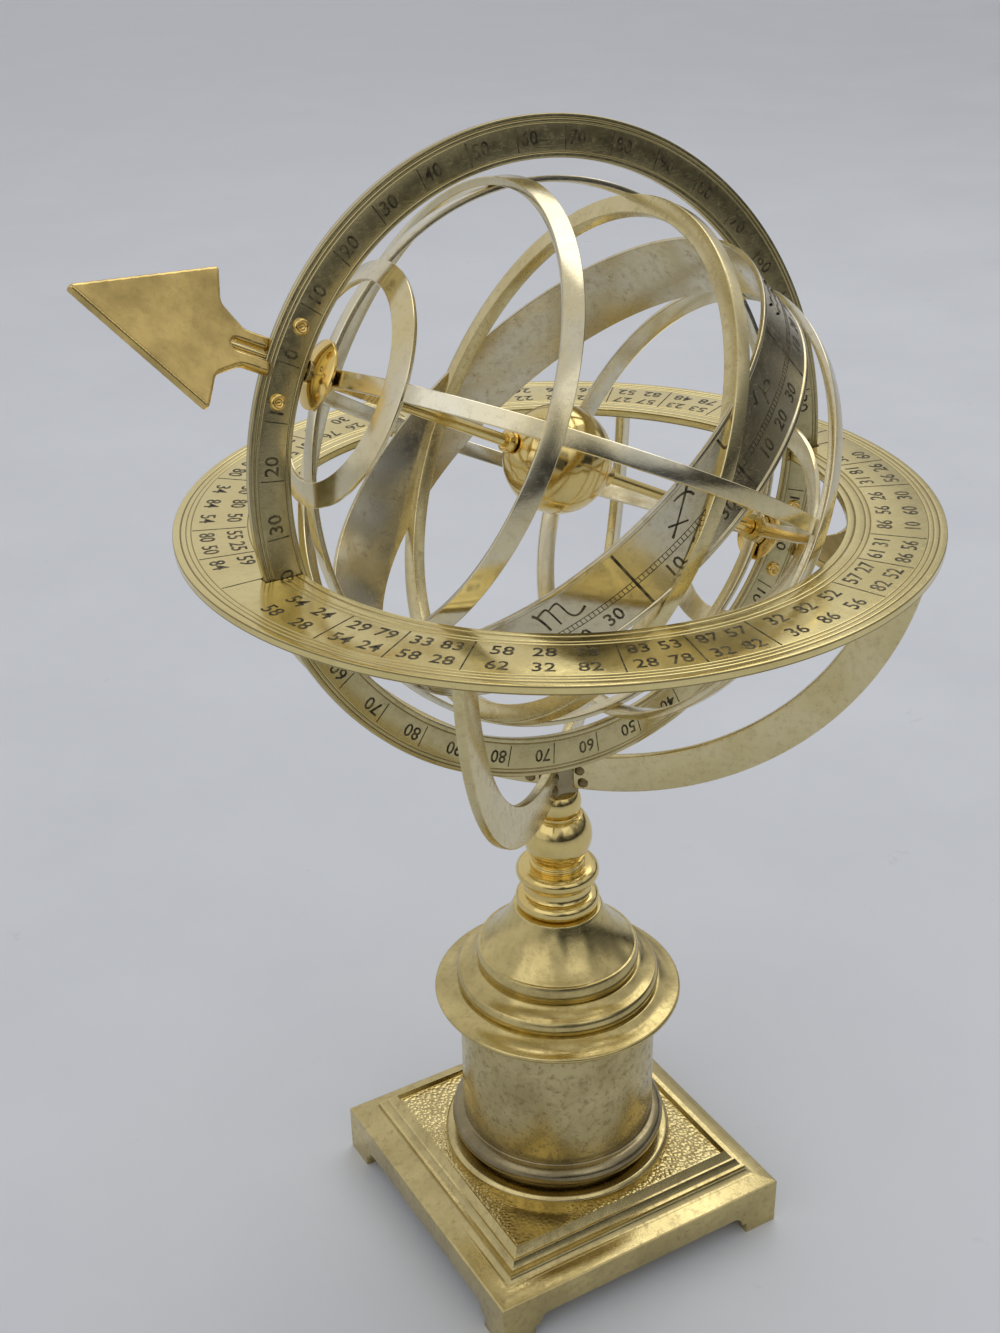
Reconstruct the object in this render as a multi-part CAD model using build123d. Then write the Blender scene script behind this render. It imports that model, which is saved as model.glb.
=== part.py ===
from build123d import *
import os
from math import cos, pi, radians, sin, sqrt, tan

os.makedirs("parts", exist_ok=True)

# Heights are measured from the floor, on the axis of the stand. The sides of the plinth
# lie along X and Y, and the arrow points to -X.

# Plinth
plinth_half = 63.3
foot_height = 9.5
foot_width = 14.0
foot_step = 2.2
foot_cove = 4.5
side_top = 20.4
ledge_half = 57.0
ledge_top = 22.2
cove_sag = 0.8
outer_bead_half = 54.2
outer_bead_top = 26.0
outer_bead_flat = 1.4
inner_bead_half = 51.2
inner_bead_top = 28.6
inner_bead_flat = 0.8
rim_half = 48.3
rim_top = 31.6
field_half = 47.2
field_top = 30.0
seat_radius = 45.0
seat_top = 34.5
seat_slope = 1.2
plinth_wall = 5.0
rod_hole = 3.2

# Turned pedestal
torus_body = 38.0
torus_minor = 4.2
torus_height = 40.5
drum_radius = 37.7
drum_wall = 2.5
drum_base = 45.0
drum_top = 101.0
spigot = 3.0
fit_gap = 0.1
flange_root = 38.9
flange_radius = 47.3
flange_soft = 0.7
ogee_sag = 0.6
flange_edge_low = 102.6
flange_edge_high = 104.7
flange_top = 107.6
disc_radius = 38.6
disc_side_top = 113.6
disc_top = 116.7
disc_soft = 1.0
ring_foot = 31.6
ring_radius = 31.0
ring_edge = 30.2
ring_top = 123.7
bell_foot = 29.5
bell_neck = 16.6
bell_waist = 20.2
bell_waist_height = 131.8
bell_top = 141.3
collar_bulge = 15.8
collar_neck = 11.6
collar_top = 159.6
collar_ring_high = 6.4
knop_radius = 12.9
knop_centre = 172.2
knop_foot = 10.4
knop_foot_top = 161.0
knop_neck = 8.2
knop_lip = 9.2
knop_neck_high = 1.0
bead_radius = 8.8
bead_foot = 7.6
bead_head = 7.3
bead_centre = 186.5
bead_top = 191.0
post_side = 11.0
post_top = 208.6
post_peak = 211.0

# Tie rod that clamps the pedestal together
rod_radius = 3.0
rod_end_gap = 0.5
rod_low = 14.0
rod_high = 203.0
washer_radius = 9.0
washer_thick = 1.6
nut_flats = 10.0
nut_thick = 5.0

# Arms
arm_thick = 3.2
arm_centre_radius = 9.4
arm_centre_height = 307.6
arm_outer = 114.45
arm_inner = 100.2

# Horizon ring
horizon_outer = 127.0
horizon_inner = 95.1
horizon_top = 302.8
horizon_thick = 3.0
slot_reach = 108.0
slot_width = 4.1
edge_break = 0.5

# Meridian ring
sphere_height = 318.9
meridian_outer = 108.75
meridian_inner = 95.3
meridian_thick = 3.0
lean = 10.2
latitude = 27.6
pole_hole = 1.0

# Celestial cage, measured from its centre
cage_spin = 2.3
colure_outer = 90.0
colure_thick = 2.0
colure_width = 5.6
eye_radius = 6.0
equator_outer = 89.2
equator_inner = 82.9
equator_width = 5.0
tropic_mid_radius = 76.4
tropic_mid_height = 52.4
tropic_slant = 6.4
tropic_thick = 2.8
tropic_cone = 26.0
polar_mid_radius = 35.6
polar_mid_height = 83.3
polar_slant = 7.9
polar_thick = 1.8
polar_cone = 67.0
obliquity = 24.8
zodiac_radius = 87.8
zodiac_width = 25.0
zodiac_thick = 1.6
zodiac_rim = 0.6
zodiac_rim_width = 1.4

# Polar axis, measured from the centre of the cage
axle_radius = 2.0
running_gap = 0.06
pin_radius = 0.95
bush_radius = 3.2
bush_flange = 4.6
bush_low = 86.4
ferrule_radius = 2.8
ferrule_low = 66.0
ferrule_ribs = 4
ferrule_lip = 0.9
rib_pitch = 1.5
rib_groove = 0.5
rib_depth = 0.35
seat_gap = 0.2
pin_run = 3.0
end_gap = 0.3
cap_radius = 11.0
cap_rise = 3.6
cap_edge = 0.8
cap_dome_radius = 7.9
cap_dome_rise = 2.5
spacer_radius = 3.4
globe_radius = 18.2
globe_collar = 3.6
globe_collar_length = 3.0

# Arrow and tail, outside the meridian ring
arrow_turn = 32.0
arrow_thick = 3.4
arrow_tip = 171.5
barb_station = 126.0
barb_half = 24.3
arrow_back = 124.6
barb_root = 12.0
throat = 8.0
throat_round = 4.5
tip_round = 1.0
neck_half = 6.0
slot_half = 1.9
slot_end = 118.5
tail_start = 109.4
tail_flare = 117.0
tail_end = 147.0
tail_half = 18.0
tail_lobe = 7.0
tail_notch = 12.0
tail_neck = 5.2
tail_swell = 8.6
lobe_round = 2.0
rivet_offset = 11.7
rivet_radius = 2.5
rivet_rise = 1.5
rivet_crown = 1.5
rivet_shank = 1.1


def unit(vector):
    """The vector scaled to a length of one."""
    return vector * (1 / vector.length)


up = Vector(0, sin(radians(lean)), cos(radians(lean)))
south = Vector(1, 0, 0)
centre = Vector(0, 0, sphere_height)
meridian_frame = Plane(origin=centre, x_dir=south, z_dir=south.cross(up))
pole = unit(south * -cos(radians(latitude)) + up * sin(radians(latitude)))
summit = unit(south * sin(radians(latitude)) + up * cos(radians(latitude)))
axis_frame = Plane(origin=centre, x_dir=summit, z_dir=pole)


def placed(frame, solid):
    """The solid, drawn at the origin, set in the frame."""
    return frame.location * solid


def turned(*edges):
    """A turned solid from the edges of its half section, drawn in the XZ plane."""
    return revolve(make_face(Wire(edges)), Axis.Z)


def turned_points(*points):
    """A turned solid whose half section has straight sides, as (radius, height)."""
    return revolve(make_face(Polyline(*[(r, 0, h) for r, h in points], close=True)), Axis.Z)


def line(start, end):
    """A straight edge between two (radius, height) points."""
    return Line((start[0], 0, start[1]), (end[0], 0, end[1]))


def arc(start, middle, end):
    """A round edge through three (radius, height) points."""
    return ThreePointArc((start[0], 0, start[1]), (middle[0], 0, middle[1]), (end[0], 0, end[1]))


def tube(outer, inner, low, high):
    """A round tube on Z."""
    return Pos(0, 0, low) * (
        Cylinder(outer, high - low, align=(Align.CENTER, Align.CENTER, Align.MIN))
        - Cylinder(inner, high - low, align=(Align.CENTER, Align.CENTER, Align.MIN))
    )


def rod(radius, low, high):
    """A round bar on Z."""
    return Pos(0, 0, low) * Cylinder(radius, high - low, align=(Align.CENTER, Align.CENTER, Align.MIN))


def mirrored_end(solid):
    """The same piece at the south end of the axis."""
    return Rot(180, 0, 0) * solid


def plinth():
    """Square cast plinth: mitred mouldings, bracket feet, a hollow underside and a round seat."""
    cove_at = (ledge_half + outer_bead_half) / 2 - cove_sag
    cove_mid = (ledge_top + outer_bead_top) / 2 - cove_sag
    section = Wire(
        [
            line((-plinth_half, 0), (-plinth_half, side_top)),
            line((-plinth_half, side_top), (-ledge_half, ledge_top)),
            arc(
                (-ledge_half, ledge_top),
                (-cove_at, cove_mid),
                (-outer_bead_half, outer_bead_top),
            ),
            line((-outer_bead_half, outer_bead_top), (-outer_bead_half + outer_bead_flat, outer_bead_top)),
            line((-outer_bead_half + outer_bead_flat, outer_bead_top), (-inner_bead_half, inner_bead_top)),
            line((-inner_bead_half, inner_bead_top), (-inner_bead_half + inner_bead_flat, inner_bead_top)),
            line((-inner_bead_half + inner_bead_flat, inner_bead_top), (-rim_half, rim_top)),
            line((-rim_half, rim_top), (-field_half, field_top)),
            line((-field_half, field_top), (field_half, field_top)),
            line((field_half, field_top), (rim_half, rim_top)),
            line((rim_half, rim_top), (inner_bead_half - inner_bead_flat, inner_bead_top)),
            line((inner_bead_half - inner_bead_flat, inner_bead_top), (inner_bead_half, inner_bead_top)),
            line((inner_bead_half, inner_bead_top), (outer_bead_half - outer_bead_flat, outer_bead_top)),
            line((outer_bead_half - outer_bead_flat, outer_bead_top), (outer_bead_half, outer_bead_top)),
            arc(
                (outer_bead_half, outer_bead_top),
                (cove_at, cove_mid),
                (ledge_half, ledge_top),
            ),
            line((ledge_half, ledge_top), (plinth_half, side_top)),
            line((plinth_half, side_top), (plinth_half, 0)),
            line((plinth_half, 0), (-plinth_half, 0)),
        ]
    )
    along_y = extrude(make_face(section), plinth_half, dir=(0, 1, 0), both=True)
    body = along_y & (Rot(0, 0, 90) * along_y)
    ceiling = field_top - plinth_wall
    skirt_half = plinth_half - plinth_wall
    skirt_ceiling = side_top - plinth_wall
    crown_half = rim_half - plinth_wall
    body -= Pos(0, 0, skirt_ceiling / 2) * Box(2 * skirt_half, 2 * skirt_half, skirt_ceiling)
    body -= Pos(0, 0, ceiling / 2) * Box(2 * crown_half, 2 * crown_half, ceiling)
    opening_half = plinth_half - foot_width
    step = opening_half - foot_step
    shoulder = foot_height - foot_cove
    side_cut = Wire(
        [
            line((-opening_half, -1), (-opening_half, shoulder)),
            line((-opening_half, shoulder), (-step, shoulder)),
            arc(
                (-step, shoulder),
                (-step + foot_cove * (1 - cos(pi / 4)), foot_height - foot_cove * (1 - sin(pi / 4))),
                (-step + foot_cove, foot_height),
            ),
            line((-step + foot_cove, foot_height), (step - foot_cove, foot_height)),
            arc(
                (step - foot_cove, foot_height),
                (step - foot_cove * (1 - cos(pi / 4)), foot_height - foot_cove * (1 - sin(pi / 4))),
                (step, shoulder),
            ),
            line((step, shoulder), (opening_half, shoulder)),
            line((opening_half, shoulder), (opening_half, -1)),
            line((opening_half, -1), (-opening_half, -1)),
        ]
    )
    passage = extrude(make_face(side_cut), plinth_half + 1, dir=(0, 1, 0), both=True)
    body -= passage
    body -= Rot(0, 0, 90) * passage
    seat_side = seat_top - seat_slope
    seat_edge = seat_radius - seat_slope
    body += turned_points(
        (0, ceiling),
        (seat_radius, ceiling),
        (seat_radius, seat_side),
        (seat_edge, seat_top),
        (0, seat_top),
    )
    return body - rod(rod_hole, 0, seat_top + 1)


def base_torus():
    """Turned base moulding: a half-round ring between the plinth's seat and the drum."""
    inner = drum_radius - drum_wall - fit_gap
    low, high = torus_height - torus_minor, torus_height + torus_minor
    return turned(
        line((rod_hole, seat_top), (torus_body, seat_top)),
        line((torus_body, seat_top), (torus_body, low)),
        arc((torus_body, low), (torus_body + torus_minor, torus_height), (torus_body, high)),
        line((torus_body, high), (torus_body, drum_base)),
        line((torus_body, drum_base), (inner, drum_base)),
        line((inner, drum_base), (inner, drum_base + spigot)),
        line((inner, drum_base + spigot), (rod_hole, drum_base + spigot)),
        line((rod_hole, drum_base + spigot), (rod_hole, seat_top)),
    )


def drum():
    """Hollow drum of the pedestal."""
    return tube(drum_radius, drum_radius - drum_wall, drum_base, drum_top)


def drum_cap():
    """Flanged cap of the drum, with an ogee under its edge and a dished top."""
    inner = drum_radius - drum_wall - fit_gap
    under = (drum_radius + flange_radius) / 2
    edge = flange_radius - flange_soft
    foot = disc_radius - flange_soft
    return turned(
        line((rod_hole, drum_top - spigot), (inner, drum_top - spigot)),
        line((inner, drum_top - spigot), (inner, drum_top)),
        line((inner, drum_top), (flange_root, drum_top)),
        arc((flange_root, drum_top), (under, drum_top + ogee_sag / 2), (edge, flange_edge_low)),
        arc(
            (edge, flange_edge_low),
            (flange_radius, (flange_edge_low + flange_edge_high) / 2),
            (edge, flange_edge_high),
        ),
        arc(
            (edge, flange_edge_high),
            ((flange_radius + disc_radius) / 2, (flange_edge_high + flange_top) / 2 - ogee_sag),
            (foot, flange_top),
        ),
        line((foot, flange_top), (rod_hole, flange_top)),
        line((rod_hole, flange_top), (rod_hole, drum_top - spigot)),
    )


def step_disc():
    """Broad disc under the bell, with a rounded edge and a sloping shoulder."""
    edge = disc_radius - disc_soft
    return turned(
        line((rod_hole, flange_top), (edge, flange_top)),
        arc(
            (edge, flange_top),
            (disc_radius, (flange_top + disc_side_top) / 2),
            (edge, disc_side_top),
        ),
        arc(
            (edge, disc_side_top),
            ((disc_radius + ring_radius) / 2, (disc_side_top + disc_top) / 2 - ogee_sag),
            (ring_foot, disc_top),
        ),
        line((ring_foot, disc_top), (rod_hole, disc_top)),
        line((rod_hole, disc_top), (rod_hole, flange_top)),
    )


def step_ring():
    """Narrow ring between the disc and the bell."""
    return turned(
        line((rod_hole, disc_top), (ring_edge, disc_top)),
        arc((ring_edge, disc_top), (ring_radius, (disc_top + ring_top) / 2), (ring_edge, ring_top)),
        line((ring_edge, ring_top), (rod_hole, ring_top)),
        line((rod_hole, ring_top), (rod_hole, disc_top)),
    )


def bell():
    """Bell-shaped waist of the pedestal."""
    return turned(
        line((rod_hole, ring_top), (bell_foot, ring_top)),
        arc(
            (bell_foot, ring_top),
            (bell_waist, bell_waist_height),
            (bell_neck, bell_top),
        ),
        line((bell_neck, bell_top), (rod_hole, bell_top)),
        line((rod_hole, bell_top), (rod_hole, ring_top)),
    )


def collar():
    """Spool-shaped collar: two half-round rings with a hollow between them."""
    low_end = bell_top + collar_ring_high
    high_start = collar_top - collar_ring_high
    shoulder = collar_bulge - collar_ring_high / 2
    return turned(
        line((rod_hole, bell_top), (shoulder, bell_top)),
        arc((shoulder, bell_top), (collar_bulge, bell_top + collar_ring_high / 2), (shoulder, low_end)),
        arc((shoulder, low_end), (collar_neck, (low_end + high_start) / 2), (shoulder, high_start)),
        arc((shoulder, high_start), (collar_bulge, (high_start + collar_top) / 2), (shoulder, collar_top)),
        line((shoulder, collar_top), (rod_hole, collar_top)),
        line((rod_hole, collar_top), (rod_hole, bell_top)),
    )


def knop():
    """Ball-shaped knop with a short neck under it and another above it."""
    ball_low = knop_centre - sqrt(knop_radius**2 - knop_foot**2)
    ball_high = knop_centre + sqrt(knop_radius**2 - knop_lip**2)
    neck_top = ball_high + knop_neck_high
    return turned(
        line((rod_hole, collar_top), (knop_foot, collar_top)),
        line((knop_foot, collar_top), (knop_foot, knop_foot_top)),
        line((knop_foot, knop_foot_top), (knop_foot, ball_low)),
        arc((knop_foot, ball_low), (knop_radius, knop_centre), (knop_lip, ball_high)),
        line((knop_lip, ball_high), (knop_neck, ball_high)),
        line((knop_neck, ball_high), (knop_neck, neck_top)),
        line((knop_neck, neck_top), (rod_hole, neck_top)),
        line((rod_hole, neck_top), (rod_hole, collar_top)),
    )


def neck_bead():
    """Small bead that carries the square post."""
    low = knop_centre + sqrt(knop_radius**2 - knop_lip**2) + knop_neck_high
    return turned(
        line((rod_hole, low), (bead_foot, low)),
        arc((bead_foot, low), (bead_radius, bead_centre), (bead_head, bead_top)),
        line((bead_head, bead_top), (rod_hole, bead_top)),
        line((rod_hole, bead_top), (rod_hole, low)),
    )


def post():
    """Square post with a low pyramid top, blind-bored for the tie rod."""
    block = Pos(0, 0, (bead_top + post_top) / 2) * Box(post_side, post_side, post_top - bead_top)
    base = Plane.XY.offset(post_top) * Rectangle(post_side, post_side)
    tip = Plane.XY.offset(post_peak) * Rectangle(post_side / 4, post_side / 4)
    bore = rod(rod_radius + fit_gap, bead_top - 1, rod_high + rod_end_gap)
    return block + loft([base.face(), tip.face()]) - bore


def tie_rod():
    """Long rod through the pedestal."""
    return rod(rod_radius, rod_low, rod_high)


def tie_washer():
    """Washer under the plinth's crown."""
    ceiling = field_top - plinth_wall
    return tube(washer_radius, rod_radius + fit_gap, ceiling - washer_thick, ceiling)


def tie_nut():
    """Hexagon nut on the lower end of the tie rod."""
    top = field_top - plinth_wall - washer_thick
    hexagon = Plane.XY.offset(top - nut_thick) * RegularPolygon(nut_flats / sqrt(3), 6)
    return extrude(hexagon, nut_thick) - rod(rod_radius + fit_gap / 2, top - nut_thick - 1, top + 1)


def arm():
    """Flat quarter-round arm from the post to the underside of the horizon ring, in the XZ plane."""
    top = horizon_top - horizon_thick
    rise = arm_centre_height - top
    x0, z0 = arm_centre_radius, arm_centre_height
    outer_end = x0 + sqrt(arm_outer**2 - rise**2)
    inner_end = x0 + sqrt(arm_inner**2 - rise**2)
    slope = sin(pi / 4)
    plate = Wire(
        [
            line((0, z0 - arm_outer), (x0, z0 - arm_outer)),
            arc((x0, z0 - arm_outer), (x0 + arm_outer * slope, z0 - arm_outer * slope), (outer_end, top)),
            line((outer_end, top), (inner_end, top)),
            arc((inner_end, top), (x0 + arm_inner * slope, z0 - arm_inner * slope), (x0, z0 - arm_inner)),
            line((x0, z0 - arm_inner), (0, z0 - arm_inner)),
            line((0, z0 - arm_inner), (0, z0 - arm_outer)),
        ]
    )
    return extrude(make_face(plate), arm_thick / 2, dir=(0, 1, 0), both=True)


def horizon_ring():
    """Flat horizon ring with two slots for the meridian ring."""
    low = horizon_top - horizon_thick
    ring = tube(horizon_outer, horizon_inner, low, horizon_top)
    ring = chamfer(ring.edges().filter_by(GeomType.CIRCLE), edge_break)
    slot_y = -(sphere_height - horizon_top + horizon_thick / 2) * tan(radians(lean))
    slots = Pos(0, slot_y, horizon_top) * Box(2 * slot_reach, slot_width, 4 * horizon_thick)
    return ring - slots


def meridian_ring():
    """Meridian ring, with broken edges and a fine radial hole at each pole."""
    half = meridian_thick / 2
    ring = tube(meridian_outer, meridian_inner, -half, half)
    ring = chamfer(ring.edges().filter_by(GeomType.CIRCLE), edge_break)
    hole = Cylinder(pole_hole, 2 * meridian_outer + 2)
    to_pole = Rot(0, 0, -latitude) * Rot(0, 90, 0)
    return placed(meridian_frame, ring - to_pole * hole)


def band(mid_radius, mid_height, slant, thick, cone):
    """A conical hoop on Z, whose wall stands at the given angle from Z, with rounded edges."""
    along = (-sin(radians(cone)), cos(radians(cone)))
    inward = (-cos(radians(cone)), -sin(radians(cone)))
    corners = []
    for side, depth in ((-1, 0), (1, 0), (1, 1), (-1, 1)):
        corners.append(
            (
                mid_radius + side * along[0] * slant / 2 + depth * inward[0] * thick,
                mid_height + side * along[1] * slant / 2 + depth * inward[1] * thick,
            )
        )
    return turned_points(*corners)


def at_both_poles(radius, low, high):
    """Two short round bars on Z, one at each pole, between two distances from the centre."""
    return rod(radius, low, high) + rod(radius, -high, -low)


def colure():
    """A hoop through both poles, in the XZ plane, with a round eye at each pole."""
    hoop = tube(colure_outer, colure_outer - colure_thick, -colure_width / 2, colure_width / 2)
    eyes = at_both_poles(eye_radius, colure_outer - colure_thick, colure_outer)
    return Rot(90, 0, 0) * hoop + eyes - at_both_poles(bush_radius, bush_low, colure_outer + 1)


def zodiac():
    """Broad zodiac band with a raised rim on each outer edge, square to its own axis."""
    half = zodiac_width / 2
    inner = zodiac_radius - zodiac_thick
    return turned_points(
        (inner, -half),
        (zodiac_radius, -half),
        (zodiac_radius, -half + zodiac_rim_width),
        (zodiac_radius - zodiac_rim, -half + zodiac_rim_width + zodiac_rim),
        (zodiac_radius - zodiac_rim, half - zodiac_rim_width - zodiac_rim),
        (zodiac_radius, half - zodiac_rim_width),
        (zodiac_radius, half),
        (inner, half),
    )


def cage():
    """The hoops of the celestial cage, halved into one another where they cross."""
    lap_depth = colure_outer - colure_thick / 2
    solstitial = colure() - at_both_poles(eye_radius, lap_depth, colure_outer + 1)
    crossing_colure = Rot(0, 0, 90) * colure()
    equinoctial = crossing_colure - at_both_poles(eye_radius, bush_low, lap_depth)
    ecliptic = Rot(0, obliquity, 0) * zodiac() - solstitial - equinoctial
    north_tropic = band(tropic_mid_radius, tropic_mid_height, tropic_slant, tropic_thick, tropic_cone)
    arctic = band(polar_mid_radius, polar_mid_height, polar_slant, polar_thick, polar_cone)
    hoops = {
        "solstitial_colure": solstitial,
        "equinoctial_colure": equinoctial,
        "zodiac_band": ecliptic,
        "equator_ring": tube(equator_outer, equator_inner, -equator_width / 2, equator_width / 2) - ecliptic,
        "north_tropic": north_tropic - ecliptic,
        "south_tropic": mirrored_end(north_tropic) - ecliptic,
        "arctic_circle": arctic,
        "antarctic_circle": mirrored_end(arctic),
    }
    for name in ("equator_ring", "north_tropic", "south_tropic", "arctic_circle", "antarctic_circle"):
        hoops[name] = hoops[name] - solstitial - equinoctial
    return {name: placed(axis_frame, Rot(0, 0, cage_spin) * hoop) for name, hoop in hoops.items()}


def pole_bush():
    """Flanged bush of the cage, running on the axle, at the north end."""
    bore = axle_radius + running_gap
    flange_top = colure_outer - colure_thick - fit_gap
    sleeve = tube(bush_radius, bore, bush_low, colure_outer)
    return sleeve + tube(bush_flange, bore, bush_low, flange_top - fit_gap)


def ferrule():
    """Ribbed ferrule on the axle, below the bush, at the north end."""
    high = bush_low - end_gap
    body = tube(ferrule_radius, axle_radius, ferrule_low, high)
    for rib in range(ferrule_ribs):
        station = ferrule_low + ferrule_lip + rib * rib_pitch
        body -= tube(ferrule_radius + 1, ferrule_radius - rib_depth, station, station + rib_groove)
    return body


def axle():
    """The axle of the cage and the globe, with a fine pin at each end through the meridian ring."""
    shoulder = meridian_inner - seat_gap
    bar = rod(axle_radius, -shoulder, shoulder)
    return bar + rod(pin_radius, -tail_start - pin_run, slot_end + pin_run)


def pole_cap():
    """Domed cap between the cage and the meridian ring, at the north end."""
    low = colure_outer + end_gap
    high = low + cap_rise
    edge = low + cap_edge
    return turned(
        line((axle_radius, low), (cap_radius, low)),
        line((cap_radius, low), (cap_radius, edge)),
        arc(
            (cap_radius, edge),
            (cap_dome_radius, low + cap_dome_rise),
            (spacer_radius, high),
        ),
        line((spacer_radius, high), (axle_radius, high)),
        line((axle_radius, high), (axle_radius, low)),
    )


def pole_spacer():
    """Short collar between the cap and the meridian ring, at the north end."""
    low = colure_outer + end_gap + cap_rise
    return tube(spacer_radius, axle_radius, low, meridian_inner - seat_gap)


def globe():
    """The little earth, free to turn on the axle."""
    return Sphere(globe_radius) - Cylinder(axle_radius + running_gap, 3 * globe_radius)


def globe_stop():
    """Collar on the axle beside the globe, at the north end."""
    low = globe_radius + end_gap
    return tube(globe_collar, axle_radius, low, low + globe_collar_length)


def arrow():
    """Cast arrow: a flat head whose stem is forked where it meets the meridian ring."""
    outline = Polyline(
        (0, 0, arrow_tip),
        (barb_half, 0, barb_station),
        (barb_root, 0, arrow_back),
        (neck_half, 0, arrow_back - throat),
        (neck_half, 0, meridian_outer - 1),
        (-neck_half, 0, meridian_outer - 1),
        (-neck_half, 0, arrow_back - throat),
        (-barb_root, 0, arrow_back),
        (-barb_half, 0, barb_station),
        close=True,
    )
    plate = extrude(make_face(outline), arrow_thick / 2, dir=(0, 1, 0), both=True)
    across = plate.edges().filter_by(Axis.Y)
    hollow = [e for e in across if arrow_back - throat - 1 < e.center().Z < arrow_back + 0.1]
    plate = fillet(hollow, throat_round)
    points = [e for e in plate.edges().filter_by(Axis.Y) if e.center().Z > barb_station - 0.1]
    plate = fillet(points, tip_round)
    stem_slot = Pos(0, 0, (slot_end + meridian_outer - 2) / 2) * Box(
        2 * slot_half, 2 * arrow_thick, slot_end - meridian_outer + 2
    )
    plate -= stem_slot
    plate -= Pos(0, 0, slot_end) * Rot(90, 0, 0) * Cylinder(slot_half, 2 * arrow_thick)
    plate = chamfer(plate.faces().filter_by(Axis.Y).edges(), edge_break)
    return plate - rod(pin_radius, meridian_outer, slot_end + pin_run)


def tail():
    """Fishtail of the arrow at the south end of the axis, with two curved lobes and a notch."""
    lobe_low = tail_end - tail_lobe
    halfway = (tail_flare + lobe_low) / 2
    notch = tail_end - tail_notch
    outline = Wire(
        [
            line((-tail_neck, 2 - tail_start), (-tail_neck, -tail_flare)),
            arc((-tail_neck, -tail_flare), (-tail_swell, -halfway), (-tail_half, -lobe_low)),
            line((-tail_half, -lobe_low), (-tail_half, -tail_end)),
            line((-tail_half, -tail_end), (0, -notch)),
            line((0, -notch), (tail_half, -tail_end)),
            line((tail_half, -tail_end), (tail_half, -lobe_low)),
            arc((tail_half, -lobe_low), (tail_swell, -halfway), (tail_neck, -tail_flare)),
            line((tail_neck, -tail_flare), (tail_neck, 2 - tail_start)),
            line((tail_neck, 2 - tail_start), (-tail_neck, 2 - tail_start)),
        ]
    )
    plate = extrude(make_face(outline), arrow_thick / 2, dir=(0, 1, 0), both=True)
    lobes = [e for e in plate.edges().filter_by(Axis.Y) if e.center().Z < -lobe_low + 0.1]
    plate = fillet(lobes, lobe_round)
    return plate - rod(pin_radius, -tail_start - pin_run, -meridian_inner)


def rivets(direction):
    """Round-headed rivets through the meridian ring, on both sides of one pole."""
    mid = (meridian_outer + meridian_inner) / 2
    swing = rivet_offset / mid * 180 / pi
    half = meridian_thick / 2
    top = half + rivet_rise
    head = turned_points((0, half), (rivet_radius, half), (rivet_crown, top), (0, top))
    rivet = head + Rot(180, 0, 0) * head + rod(rivet_shank, -half, half)
    found = []
    for side in (-1, 1):
        found.append(placed(meridian_frame, Rot(0, 0, direction + side * swing) * Pos(mid, 0, 0) * rivet))
    return found


def write(name, shape):
    """Writes one node."""
    export_step(shape, f"parts/{name}.step")


def main():
    """Builds every node and writes it."""
    pedestal = {
        "plinth": plinth(),
        "base_torus": base_torus(),
        "drum": drum(),
        "drum_cap": drum_cap(),
        "step_disc": step_disc(),
        "step_ring": step_ring(),
        "bell": bell(),
        "collar": collar(),
        "knop": knop(),
        "neck_bead": neck_bead(),
        "post": post(),
        "tie_rod": tie_rod(),
        "tie_washer": tie_washer(),
        "tie_nut": tie_nut(),
        "horizon_ring": horizon_ring(),
    }
    for name, shape in pedestal.items():
        write(name, shape)

    square_post = pedestal["post"] + pedestal["tie_rod"]
    quadrants = {"front_right": -45, "back_right": 45, "back_left": 135, "front_left": -135}
    for name, azimuth in quadrants.items():
        write(f"arm_{name}", Rot(0, 0, azimuth) * arm() - square_post - rod(post_side / 2, 0, horizon_top))

    for name, shape in cage().items():
        write(name, shape)
    for end, turn in (("north", 0), ("south", 180)):
        swing = Rot(turn, 0, 0)
        write(f"{end}_bush", placed(axis_frame, swing * pole_bush()))
        write(f"{end}_ferrule", placed(axis_frame, swing * ferrule()))
        write(f"{end}_cap", placed(axis_frame, swing * pole_cap()))
        write(f"{end}_spacer", placed(axis_frame, swing * pole_spacer()))
        write(f"{end}_globe_stop", placed(axis_frame, swing * globe_stop()))

    write("globe", placed(axis_frame, globe()))
    write("axle", placed(axis_frame, axle()))
    ring = meridian_ring()
    north_rivets = rivets(180 - latitude)
    south_rivets = rivets(-latitude)
    for rivet in north_rivets + south_rivets:
        ring -= rivet
    write("meridian_ring", ring)
    write("north_rivets", Compound(children=north_rivets))
    write("south_rivets", Compound(children=south_rivets))
    write("arrow", placed(axis_frame, Rot(0, 0, arrow_turn) * arrow()) - ring)
    write("tail", placed(axis_frame, Rot(0, 0, arrow_turn) * tail()) - ring)


main()
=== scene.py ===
import logging
import math
from dataclasses import dataclass
from enum import Enum

import bpy
from mathutils import Matrix, Vector


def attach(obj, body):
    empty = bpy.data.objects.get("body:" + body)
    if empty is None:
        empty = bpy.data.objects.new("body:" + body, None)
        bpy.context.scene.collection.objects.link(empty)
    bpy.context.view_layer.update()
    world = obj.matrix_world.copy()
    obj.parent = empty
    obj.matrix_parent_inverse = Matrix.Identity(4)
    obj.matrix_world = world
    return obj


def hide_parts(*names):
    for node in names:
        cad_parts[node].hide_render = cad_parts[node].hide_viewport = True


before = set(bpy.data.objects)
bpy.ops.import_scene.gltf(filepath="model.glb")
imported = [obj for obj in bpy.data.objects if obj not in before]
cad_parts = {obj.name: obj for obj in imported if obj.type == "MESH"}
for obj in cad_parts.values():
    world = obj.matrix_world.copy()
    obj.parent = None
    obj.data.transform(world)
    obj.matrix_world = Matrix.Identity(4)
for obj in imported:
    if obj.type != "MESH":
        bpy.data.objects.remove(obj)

log = logging.getLogger("armillary")

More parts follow.
